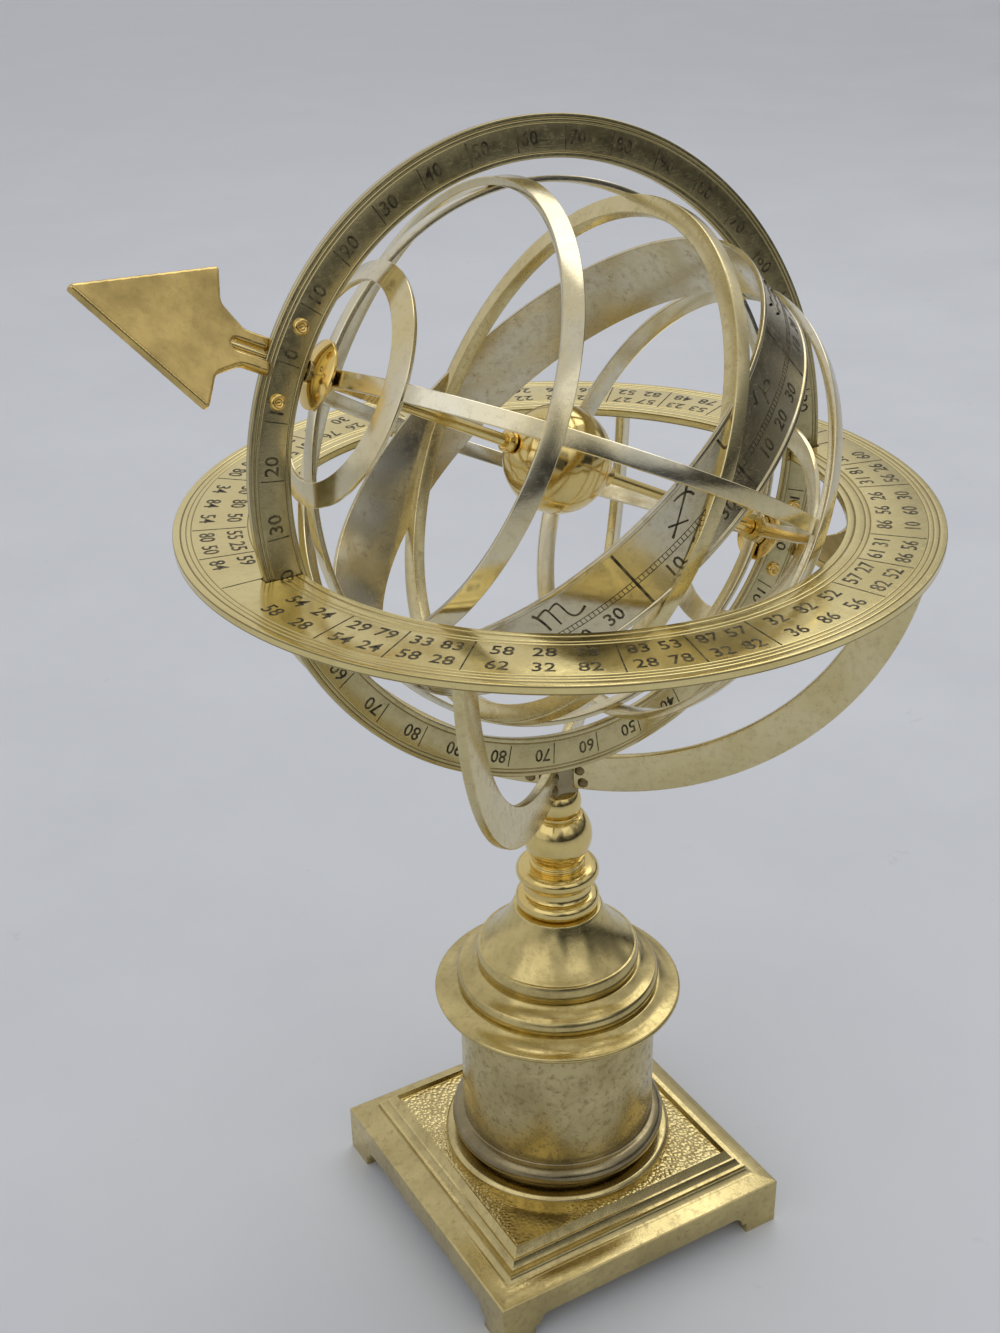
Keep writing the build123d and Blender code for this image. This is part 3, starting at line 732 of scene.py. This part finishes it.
@dataclass
class Numerals:
    """Raised dark figures, bars and lines that stand for blackened engraving, and on the horizon ring for
    painted shade in stamped figures and grooves.
    """

    height: float = 0.05

    def __post_init__(self) -> None:
        self.glyphs: dict[str, bpy.types.Object] = {}

    def glyph(self, text: str, size: float) -> bpy.types.Object:
        """One number as a mesh, centred on the origin and kept as a pattern."""
        key = f"{text}@{size}"
        if key not in self.glyphs:
            Bench.clear()
            bpy.ops.object.text_add()
            obj = bpy.context.object
            obj.data.body = text
            obj.data.size = size * 1.38 * MM
            obj.data.extrude = self.height * MM
            obj.data.offset = 0.07 * MM
            obj.data.resolution_u = 2
            obj.data.align_x = "CENTER"
            obj.data.align_y = "CENTER"
            bpy.ops.object.convert(target="MESH")
            self.glyphs[key] = bpy.context.object
        return self.glyphs[key]

    def bar(self, width: float, length: float) -> bpy.types.Object:
        """A straight bar along local Y as a mesh pattern."""
        key = f"bar {width} {length}"
        if key not in self.glyphs:
            h = self.height
            self.glyphs[key] = Bench.box((-width / 2, -length / 2, -h), (width / 2, length / 2, h))
        return self.glyphs[key]

    def clean(self) -> None:
        """Deletes the patterns."""
        for obj in self.glyphs.values():
            bpy.data.objects.remove(obj)
        self.glyphs.clear()


def on_ring(angle: float, radius: float, level: float, flip: bool = False) -> Matrix:
    """Place on a flat ring's face with the local Y axis pointing outwards.

    Args:
        angle: Direction in degrees from the ring's X axis.
        radius: Distance from the ring's axis in millimetres.
        level: Height above the ring's middle plane in millimetres.
        flip: True turns the reading side inwards.

    Returns:
        The place in the ring's frame.
    """
    turn = Matrix.Rotation(math.radians(angle), 4, "Z")
    shift = Matrix.Translation((radius * MM, 0, level * MM))
    face = Matrix.Rotation(math.pi / 2 if flip else -math.pi / 2, 4, "Z")
    return turn @ shift @ face


@dataclass
class HorizonRing:
    """Horizon ring with engraved borders, cells and plain numbers."""

    outer: float = 127.0
    inner: float = 95.1
    top: float = 302.8
    half: float = 1.5
    slot_reach: float = 108.0
    slot_half: float = 2.05
    slot_y: float = -3.13

    def build(self) -> None:
        """Builds the ring and its engraving."""
        place = Matrix.Translation((0, 0, (self.top - self.half) * MM))
        grooves = ((124.4, 0.7), (122.6, 0.5), (121.0, 0.5), (102.6, 0.5), (100.9, 0.5), (97.6, 0.7))
        section = flat_ring(self.outer, self.inner, self.half, grooves)
        ring = Turning("horizon_plate", section, place, 0.45, 240).build()
        slot = Bench.box(
            (-self.slot_reach, self.slot_y - self.slot_half, self.top - 8),
            (self.slot_reach, self.slot_y + self.slot_half, self.top + 4),
        )
        Bench.cut(ring, slot)
        Bench.smooth(ring, CREASE)
        finish(ring, HORIZON, Body.STAND, Slot.POLISHED, ("horizon_ring",), place)
        self.engrave(place @ Matrix.Translation((0, 0, self.half * MM)))

    def engrave(self, face: Matrix) -> None:
        """Adds the cells' dividers and numbers on the upper face as dark raised pieces: painted shade of the
        stamped figures and grooves.
        """
        pen = Numerals()
        pieces: list[bpy.types.Object] = []
        angle, cell, value = 3.0, 0, 26
        while angle < 359.0:
            wide = cell % 3 == 0
            span = 22.0 if wide else 11.2
            middle = angle + span / 2
            pieces.append(Bench.copy(pen.bar(0.45, 17.6), face @ on_ring(angle, 111.8, 0.0, True)))
            groups = 3 if wide else 2
            for row, radius in ((0, 116.2), (1, 107.3)):
                for column in range(groups):
                    number = 10 + (value * 7 + row * 13 + column * 29) % 80
                    spread = (column - (groups - 1) / 2) * (6.4 if wide else 5.0)
                    from_slot = abs((middle + spread + 90) % 180 - 90)
                    if from_slot > 7.0:
                        place = face @ on_ring(middle + spread, radius, 0.0, True)
                        pieces.append(Bench.copy(pen.glyph(str(number), 5.2), place))
                    value += 3
            angle += span
            cell += 1
        lines = Bench.join("horizon_marks_painted_shade", pieces)
        pen.clean()
        # Painted shade: these dark figures and bars stand for the shaded sides of figures and grooves
        # stamped into the brass.
        finish(lines, Ink(), Body.STAND, Slot.DARK)


@dataclass
class MeridianRing:
    """Meridian ring with engraved lines, degree ticks and numbers on both faces."""

    outer: float = 108.75
    inner: float = 95.3
    half: float = 1.5
    numbers_at: float = 101.4

    def build(self) -> None:
        """Builds the ring, its engraving and the ring-headed rivets."""
        grooves = ((107.2, 0.5), (106.0, 0.4), (97.0, 0.45))
        section = flat_ring(self.outer, self.inner, self.half, grooves)
        obj = Turning("meridian_plate", section, AT_MERIDIAN, 0.45, 256).build()
        finish(obj, MERIDIAN, Body.MERIDIAN, Slot.OLIVE, ("meridian_ring",), AT_MERIDIAN)
        self.engrave()
        self.rivets()

    def engrave(self) -> None:
        """Ticks and numbers every ten degrees, counted from both poles to the top and the bottom."""
        pen = Numerals()
        pieces: list[bpy.types.Object] = []
        for side in (Matrix.Identity(4), HALF_TURN):
            for step in range(36):
                from_north = step * 10
                angle = 180 - math.degrees(LATITUDE) - from_north
                fold = from_north % 180
                number = fold if fold <= 90 else 180 - fold
                local = angle if side == Matrix.Identity(4) else -angle
                place = AT_MERIDIAN @ side @ on_ring(local, self.numbers_at, self.half)
                pieces.append(Bench.copy(pen.bar(0.35, 7.4), place))
                shift = -2.5 if number >= 10 else -1.7
                place = AT_MERIDIAN @ side @ on_ring(local + shift, self.numbers_at, self.half)
                pieces.append(Bench.copy(pen.glyph(str(number), 4.6), place))
        lines = Bench.join("meridian_numbers", pieces)
        pen.clean()
        finish(lines, Ink("meridian engraving"), Body.MERIDIAN, Slot.DARK)

    def rivets(self) -> None:
        """Dimpled rivet heads beside both poles."""
        swing = 11.7 / 102.0
        for name, base in (("north_rivets", math.pi - LATITUDE), ("south_rivets", -LATITUDE)):
            heads = []
            for offset in (-swing, swing):
                for side in (1, -1):
                    section = [(0.0, 1.0), (2.6, 1.0), (2.6, 1.9)]
                    section += arc((2.5, 2.1), (1.8, 2.9), (1.0, 2.3), 8) + [(0.7, 2.0), (0.0, 1.9)]
                    turn = Matrix.Rotation(base + offset, 4, "Z")
                    shift = Matrix.Translation((102.0 * MM, 0, 0))
                    flip = HALF_TURN if side < 0 else Matrix.Identity(4)
                    place = AT_MERIDIAN @ turn @ shift @ flip
                    heads.append(Turning("rivet_head", section, place, 0.2, 32).build())
            rivets = Bench.join(f"{name}_heads", heads)
            finish(rivets, BRIGHT, Body.MERIDIAN, Slot.BRIGHT, (name,))


# Strokes of the twelve traditional signs in millimetres about each sign's middle: a slash parts two strokes
SIGNS: tuple[str, ...] = (
    "0,-4 0,2 -1.2,3.8 -3,3.6 -3.4,2 -2.2,1.2 / 0,2 1.2,3.8 3,3.6 3.4,2 2.2,1.2",
    "-3.2,4 -1.6,2 0,1.4 1.6,2 3.2,4 / 0,1.4 -2.4,0.2 -2.4,-2.6 0,-4 2.4,-2.6 2.4,0.2 0,1.4",
    "-3.4,3.8 0,3.1 3.4,3.8 / -3.4,-3.8 0,-3.1 3.4,-3.8 / -1.5,3.3 -1.5,-3.3 / 1.5,3.3 1.5,-3.3",
    "-3.8,0.6 -3,3 0,3.6 3.8,2.4 / 3.8,-0.6 3,-3 0,-3.6 -3.8,-2.4 / -3.2,0.4 -1.6,0.9 -2.4,2 / "
    "3.2,-0.4 1.6,-0.9 2.4,-2",
    "-2.2,-1.6 -3.4,-0.4 -2.2,0.6 -1.2,-0.4 -2,2.2 0,4 2,2.4 1,-1.4 2,-3.8 3.8,-3",
    "-3.8,3.4 -3,2.6 -3,-3 / -3,2.4 -1.4,3.6 -1,2.4 -1,-3 / -1,2.4 0.6,3.6 1,2.4 1,-2.6 2.8,-4 / "
    "1,1.6 2.8,2.6 3.2,0.6 0.4,-3.4",
    "-3.8,-3.2 3.8,-3.2 / -3.8,-1.2 -1.4,-1.2 -2.2,1.6 0,3.6 2.2,1.6 1.4,-1.2 3.8,-1.2",
    "-3.8,3.4 -3,2.6 -3,-3 / -3,2.4 -1.4,3.6 -1,2.4 -1,-3 / -1,2.4 0.6,3.6 1,2.4 1,-2.4 2.4,-3.6 "
    "3.8,-2.2",
    "-3.4,-3.6 3.4,3.6 / 0.4,3.6 3.4,3.6 3.4,0.6 / -2.8,-0.4 0.2,-3.2",
    "-3.8,3.4 -2.6,2.8 -2,-1.4 -1,2.6 0.6,3 1,-1 0,-4 / 1,-0.4 2.6,0.6 3.6,-1 2.4,-2.4 1,-1.4",
    "-4,2.6 -2.6,0.8 -1.2,2.6 0.2,0.8 1.6,2.6 3,0.8 4.2,2.6 / -4,-0.8 -2.6,-2.6 -1.2,-0.8 "
    "0.2,-2.6 1.6,-0.8 3,-2.6 4.2,-0.8",
    "-3.4,3.8 -1.8,0 -3.4,-3.8 / 3.4,3.8 1.8,0 3.4,-3.8 / -3,0 3,0",
)


@dataclass
class Cage:
    """Hoops of the celestial cage and the zodiac band."""

    def hoop(
        self, node: str, section: list[Point], place: Matrix, skin: Metal, slot: Slot, soft: float = 0.5
    ) -> None:
        """Turns one hoop."""
        obj = Turning(f"{node}_hoop", section, place, soft, 200).build()
        finish(obj, skin, Body.CAGE, slot, (node,), place)

    def build(self) -> None:
        """Builds all hoops."""
        colure = [(90.0, -2.8), (90.0, 2.8), (88.0, 2.8), (88.0, -2.8)]
        inner = [(r - 0.05, h * 0.98) for r, h in colure]
        self.hoop("solstitial_colure", colure, AT_CAGE @ QUARTER, HOOPS, Slot.NICKEL)
        across = AT_CAGE @ Matrix.Rotation(math.pi / 2, 4, "Z") @ QUARTER
        self.hoop("equinoctial_colure", inner, across, HOOPS, Slot.NICKEL)
        self.eyes()
        equator = [(89.2, -2.5), (89.2, 2.5), (82.9, 2.5), (82.9, -2.5)]
        self.hoop("equator_ring", equator, AT_CAGE, ARMS, Slot.BRUSHED, 0.6)
        for node, turn in (("north_tropic", Matrix.Identity(4)), ("south_tropic", HALF_TURN)):
            self.hoop(node, self.cone(76.4, 52.4, 6.4, 2.8, 26.0), AT_CAGE @ turn, HOOPS, Slot.NICKEL)
        for node, turn in (("arctic_circle", Matrix.Identity(4)), ("antarctic_circle", HALF_TURN)):
            self.hoop(node, self.cone(35.6, 83.3, 7.9, 1.8, 67.0), AT_CAGE @ turn, HOOPS, Slot.NICKEL, 0.4)
        self.zodiac()

    @staticmethod
    def cone(radius: float, height: float, slant: float, thick: float, angle: float) -> list[Point]:
        """Section of a conical hoop."""
        along = (-math.sin(math.radians(angle)), math.cos(math.radians(angle)))
        inward = (-math.cos(math.radians(angle)), -math.sin(math.radians(angle)))
        corners = []
        for side, depth in ((-1, 0), (1, 0), (1, 1), (-1, 1)):
            x = radius + side * along[0] * slant / 2 + depth * inward[0] * thick
            y = height + side * along[1] * slant / 2 + depth * inward[1] * thick
            corners.append((x, y))
        return corners

    def eyes(self) -> None:
        """Round eyes of the colures at both poles."""
        eyes = []
        for turn in (Matrix.Identity(4), HALF_TURN):
            section = [(3.2, 87.95), (6.0, 87.95), (6.0, 90.05), (3.2, 90.05)]
            eyes.append(Turning("eye", section, AT_AXIS @ turn, 0.3, 48).build())
        finish(Bench.join("colure_eyes", eyes), HOOPS, Body.CAGE, Slot.NICKEL)

    def zodiac(self) -> None:
        """Zodiac band with raised rims, dividers, a ladder scale, traditional signs and numbers."""
        half, radius = 12.5, 87.8
        section = [
            (radius - 1.6, -half), (radius, -half), (radius, -half + 1.4), (radius - 0.5, -half + 1.7),
            (radius - 0.5, half - 1.7), (radius, half - 1.4), (radius, half), (radius - 1.6, half),
        ]
        self.hoop("zodiac_band", section, AT_ZODIAC, BAND, Slot.NICKEL, 0.3)
        pen = Numerals(0.04)
        pieces: list[bpy.types.Object] = []
        face = radius - 0.5
        for cell in range(12):
            start = cell * 30.0 + 6.0
            pieces.append(Bench.copy(pen.bar(0.9, 21.0), self.on_band(start, face, 0.0)))
            for step in range(30):
                angle = start + step
                place = self.on_band(angle, face, -1.6)
                pieces.append(Bench.copy(pen.bar(0.25, 1.7), place))
            for column, number in enumerate((10, 20, 30)):
                place = self.on_band(start + 7.5 + column * 7.5, face, -6.6)
                pieces.append(Bench.copy(pen.glyph(str(number), 4.6), place))
            pieces.append(self.sign(cell, start + 15.0, face))
        for height in (-0.7, -2.5):
            for step in range(120):
                tip = self.on_band(step * 3.0, face, height) @ Matrix.Rotation(math.pi / 2, 4, "Z")
                pieces.append(Bench.copy(pen.bar(0.22, 4.65), tip))
        lines = Bench.join("zodiac_engraving", pieces)
        pen.clean()
        finish(lines, Ink("zodiac engraving"), Body.CAGE, Slot.DARK)

    @staticmethod
    def on_band(angle: float, radius: float, height: float) -> Matrix:
        """Place on the band's outside with local Y towards its upper edge and local Z outwards."""
        turn = Matrix.Rotation(math.radians(angle), 4, "Z")
        shift = Matrix.Translation((radius * MM, 0, height * MM))
        face = basis(Vector((0, 1, 0)), Vector((1, 0, 0)), Vector((0, 0, 0)))
        return AT_ZODIAC @ turn @ shift @ face

    def sign(self, index: int, angle: float, radius: float) -> bpy.types.Object:
        """One traditional sign, drawn as round wire strokes pressed into the band.

        Args:
            index: Which of the twelve.
            angle: Direction on the band in degrees.
            radius: Distance from the band's axis.

        Returns:
            The joined strokes.
        """
        Bench.clear()
        data = bpy.data.curves.new("sign", "CURVE")
        data.dimensions = "3D"
        data.bevel_depth = 0.5 * MM
        data.bevel_resolution = 1
        data.resolution_u = 4
        for stroke in SIGNS[index].split(" / "):
            points = [tuple(float(v) for v in pair.split(",")) for pair in stroke.split()]
            spline = data.splines.new("NURBS")
            spline.points.add(len(points) - 1)
            for point, (x, y) in zip(spline.points, points):
                point.co = (x * 1.9 * MM, (y * 1.15 + 5.0) * MM, -0.34 * MM, 1.0)
            spline.order_u = 3
            spline.use_endpoint_u = True
        obj = bpy.data.objects.new("sign", data)
        bpy.context.collection.objects.link(obj)
        Bench.pick(obj)
        bpy.ops.object.convert(target="MESH")
        obj = bpy.context.object
        obj.matrix_world = self.on_band(angle, radius, 0.0)
        return obj


@dataclass
class PolarAxis:
    """Caps, ferrules, spacers, the globe, and the cast arrow with its tail."""

    def build(self) -> None:
        """Builds the pieces on the axis."""
        for end, turn in (("north", Matrix.Identity(4)), ("south", HALF_TURN)):
            place = AT_AXIS @ turn
            low = 90.35
            cap = [(2.0, low), (11.0, low), (11.0, low + 0.8)]
            cap += arc((10.9, low + 1.0), (7.9, low + 2.5), (3.4, low + 3.6), 12) + [(2.0, low + 3.6)]
            self.piece(f"{end}_cap", cap, place, BRIGHT)
            spacer = [(2.0, 93.9), (3.4, 93.9), (3.4, 95.1), (2.0, 95.1)]
            self.piece(f"{end}_spacer", spacer, place, DARK)
            self.piece(f"{end}_ferrule", self.ferrule(), place, BRIGHT)
            stop = [(2.0, 18.5), (3.6, 18.5), (3.6, 21.5), (2.0, 21.5)]
            self.piece(f"{end}_globe_stop", stop, place, BRIGHT)
        self.globe()
        self.casting("arrow")
        self.casting("tail")

    @staticmethod
    def ferrule() -> list[Point]:
        """Section of the ribbed ferrule."""
        section: list[Point] = [(2.0, 66.0), (2.5, 66.0)]
        for rib in range(6):
            section += [(2.8, 66.4 + rib * 1.3), (2.8, 67.1 + rib * 1.3), (2.45, 67.4 + rib * 1.3)]
        return section + [(2.8, 74.6), (2.8, 86.1), (2.0, 86.1)]

    def piece(self, node: str, section: list[Point], place: Matrix, skin: Metal) -> None:
        """Turns one piece on the axis."""
        obj = Turning(f"{node}_turned", section, place, 0.25, 64).build()
        slot = Slot.DARK if skin is DARK else Slot.BRIGHT
        finish(obj, skin, Body.MERIDIAN, slot, (node,), place)

    def globe(self) -> None:
        """Little earth with fine engraved circles."""
        section: list[Point] = []
        for step in range(49):
            latitude = math.radians(-84.0 + step * 3.5)
            radius = 18.2 - (0.12 if step % 8 == 0 and 0 < step < 48 else 0.0)
            section.append((radius * math.cos(latitude), radius * math.sin(latitude)))
        section = [(2.06, -18.05)] + section + [(2.06, 18.05)]
        obj = Turning("globe_ball", section, AT_AXIS, 0.0, 96).build()
        finish(obj, POLISHED_TURNING, Body.GLOBE, Slot.BRIGHT, ("globe",), AT_AXIS)

    def casting(self, node: str, voxel: float = 0.42, passes: int = 7) -> None:
        """Softens a merged copy of a flat CAD casting by remeshing and smoothing it."""
        cast = Bench.merged_copy(node, f"{node}_cast")
        Bench.modify(cast, "REMESH", mode="VOXEL", voxel_size=voxel * MM)
        Bench.modify(cast, "SMOOTH", factor=0.5, iterations=passes)
        Bench.pick(cast)
        bpy.ops.object.shade_smooth()
        finish(cast, ARROW, Body.MERIDIAN, Slot.BRIGHT, (node,))


@dataclass
class Arms:
    """Four arms under the horizon ring with their brazed roots."""

    names: tuple[str, ...] = ("arm_front_right", "arm_back_right", "arm_back_left", "arm_front_left")
    edge: float = 0.5

    def build(self) -> None:
        """Bevels merged copies of the arms and adds the brazing."""
        for node in self.names:
            bar = Bench.merged_copy(node, f"{node}_bar")
            bpy.ops.object.mode_set(mode="EDIT")
            bpy.ops.mesh.dissolve_limited(angle_limit=math.radians(0.6))
            bpy.ops.object.mode_set(mode="OBJECT")
            limits = {"limit_method": "ANGLE", "angle_limit": math.radians(40)}
            Bench.modify(bar, "BEVEL", width=self.edge * MM, segments=3, **limits)
            Bench.smooth(bar, 30)
            finish(bar, ARMS, Body.STAND, Slot.BRUSHED, (node,))
        self.brazing()

    def brazing(self) -> None:
        """Irregular lumps where the arms meet the post and the ring."""
        lumps = []
        spots: list[tuple[float, float, float, float]] = []
        for x in (-1, 1):
            for y in (-1, 1):
                spots.append((x * 6.3, y * 6.3, 205.6, 3.1))
                spots.append((x * 6.9, y * 6.9, 196.0, 2.6))
                spots.append((x * 6.0, y * 6.0, 200.8, 2.5))
                spots.append((x * 82.2, y * 82.2, 298.9, 2.4))
        for index, (x, y, z, size) in enumerate(spots):
            Bench.clear()
            place = (x * MM, y * MM, z * MM)
            bpy.ops.mesh.primitive_ico_sphere_add(subdivisions=4, radius=size * MM, location=place)
            bpy.ops.object.mode_set(mode="EDIT")
            bpy.ops.mesh.select_all(action="SELECT")
            bpy.ops.transform.vertex_random(offset=0.35 * MM, seed=index)
            bpy.ops.mesh.vertices_smooth(factor=0.5, repeat=3)
            bpy.ops.object.mode_set(mode="OBJECT")
            bpy.ops.object.shade_smooth()
            lumps.append(bpy.context.object)
        finish(Bench.join("arm_brazing", lumps), SOLDER, Body.STAND, Slot.DARK)


@dataclass
class Studio:
    """Pale floor, soft lights and the camera of the photograph."""

    camera_at: tuple[float, float, float] = (-0.2876, -0.458, 0.5285)
    heading: float = 30.0
    pitch: float = 27.94
    roll: float = 0.0174
    lens: float = 47.2

    def build(self) -> None:
        """Sets up floor, world, lights and camera."""
        bpy.context.scene.view_settings.view_transform = "Standard"
        self.floor()
        self.world()
        self.lamp("key", (0.9, 0.6, 1.9), 1.5, 9.0)
        self.lamp("fill", (-1.4, -0.4, 1.5), 1.6, 3.0)
        self.lamp("front", (0.2, -1.7, 1.3), 1.2, 1.5)
        self.camera()

    def floor(self) -> None:
        """Large pale tabletop with faint smudges."""
        Bench.clear()
        bpy.ops.mesh.primitive_plane_add(size=30)
        floor = bpy.context.object
        floor.name = "floor"
        g = Graph("tabletop")
        smudge = g.noise(g.scaled((6.0, 6.0, 6.0)), 6.0, 0.6)
        mark = g.ramp(g.noise(g.scaled((30.0, 30.0, 30.0)), 5.0, 0.7), 0.66, 0.74)
        colour = g.mix(g.ramp(smudge, 0.35, 0.65), tone(0.62, 0.64, 0.67), tone(0.66, 0.68, 0.70))
        colour = g.mix(g.math("MULTIPLY", mark, 0.25), colour, tone(0.38, 0.38, 0.38))
        rough = g.ramp(smudge, 0.3, 0.7, 0.42, 0.6)
        shader = g.add("BsdfPrincipled", {"Base Color": colour, "Roughness": rough})
        g.add("OutputMaterial", {"Surface": shader.outputs[0]})
        floor.data.materials.append(g.material)

    def world(self) -> None:
        """Grey room: lighter above, with darker stretches that the metal reflects."""
        world = bpy.data.worlds.new("room")
        bpy.context.scene.world = world
        world.use_nodes = True
        tree = world.node_tree
        tree.nodes.clear()
        coord = tree.nodes.new("ShaderNodeTexCoord")
        noise = tree.nodes.new("ShaderNodeTexNoise")
        noise.inputs["Scale"].default_value = 2.3
        noise.inputs["Detail"].default_value = 1.0
        tree.links.new(coord.outputs["Generated"], noise.inputs["Vector"])
        lean = tree.nodes.new("ShaderNodeVectorMath")
        lean.operation = "DOT_PRODUCT"
        lean.inputs[1].default_value = (-0.18, 0.34, 0.95)
        tree.links.new(coord.outputs["Generated"], lean.inputs[0])
        total = tree.nodes.new("ShaderNodeMath")
        total.operation = "MULTIPLY_ADD"
        total.inputs[1].default_value = 1.3
        tree.links.new(noise.outputs[0], total.inputs[0])
        tree.links.new(lean.outputs["Value"], total.inputs[2])
        ramp = tree.nodes.new("ShaderNodeValToRGB")
        ramp.color_ramp.elements[0].position = 0.42
        ramp.color_ramp.elements[0].color = (0.06, 0.06, 0.065, 1)
        ramp.color_ramp.elements[1].position = 1.0
        ramp.color_ramp.elements[1].color = (1.0, 1.0, 1.04, 1)
        middle = ramp.color_ramp.elements.new(0.72)
        middle.color = (0.32, 0.33, 0.35, 1)
        tree.links.new(total.outputs[0], ramp.inputs[0])
        light = tree.nodes.new("ShaderNodeBackground")
        light.inputs["Strength"].default_value = 0.64
        tree.links.new(ramp.outputs[0], light.inputs[0])
        out = tree.nodes.new("ShaderNodeOutputWorld")
        tree.links.new(light.outputs[0], out.inputs[0])

    @staticmethod
    def lamp(name: str, at: tuple[float, float, float], size: float, power: float) -> None:
        """Adds a square soft light that looks at the object."""
        data = bpy.data.lights.new(name, "AREA")
        data.size = size
        data.energy = power
        obj = bpy.data.objects.new(name, data)
        bpy.context.collection.objects.link(obj)
        obj.location = at
        obj.rotation_euler = (Vector(at) - Vector((0, 0, 0.25))).to_track_quat("Z", "Y").to_euler()

    def camera(self) -> None:
        """Places the camera where the photograph was taken."""
        data = bpy.data.cameras.new("camera")
        data.lens = self.lens
        data.sensor_width = 36.0
        data.sensor_fit = "AUTO"
        data.clip_start = 0.01
        data.clip_end = 60.0
        data.dof.use_dof = False
        camera = bpy.data.objects.new("camera", data)
        bpy.context.collection.objects.link(camera)
        h, p = math.radians(self.heading), math.radians(self.pitch)
        forward = Vector((math.sin(h) * math.cos(p), math.cos(h) * math.cos(p), -math.sin(p)))
        right = Vector((math.cos(h), -math.sin(h), 0.0))
        down = forward.cross(right)
        c, s = math.cos(self.roll), math.sin(self.roll)
        right, down = right * c + down * s, down * c - right * s
        turn = Matrix((right, -down, -forward)).transposed().to_4x4()
        camera.matrix_world = Matrix.Translation(self.camera_at) @ turn
        bpy.context.scene.camera = camera


def dress_kept_nodes() -> None:
    """Gives the CAD nodes that stay their materials."""
    skins = {
        "post": DARK, "tie_rod": DARK, "tie_washer": DARK, "tie_nut": DARK, "axle": POLISHED_TURNING,
        "north_bush": POLISHED_TURNING, "south_bush": POLISHED_TURNING,
    }
    for name, skin in skins.items():
        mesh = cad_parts[name].data
        mesh.materials.clear()
        mesh.materials.append(SKINS.of(skin))


def main() -> None:
    """Builds the dressed model and its studio."""
    logging.basicConfig(level=logging.INFO)
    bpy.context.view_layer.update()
    dress_kept_nodes()
    for part in (Studio(), Pedestal(), HorizonRing(), MeridianRing(), Cage(), PolarAxis(), Arms()):
        part.build()
        log.info("%s done", type(part).__name__)


if __name__ == "__main__":
    main()
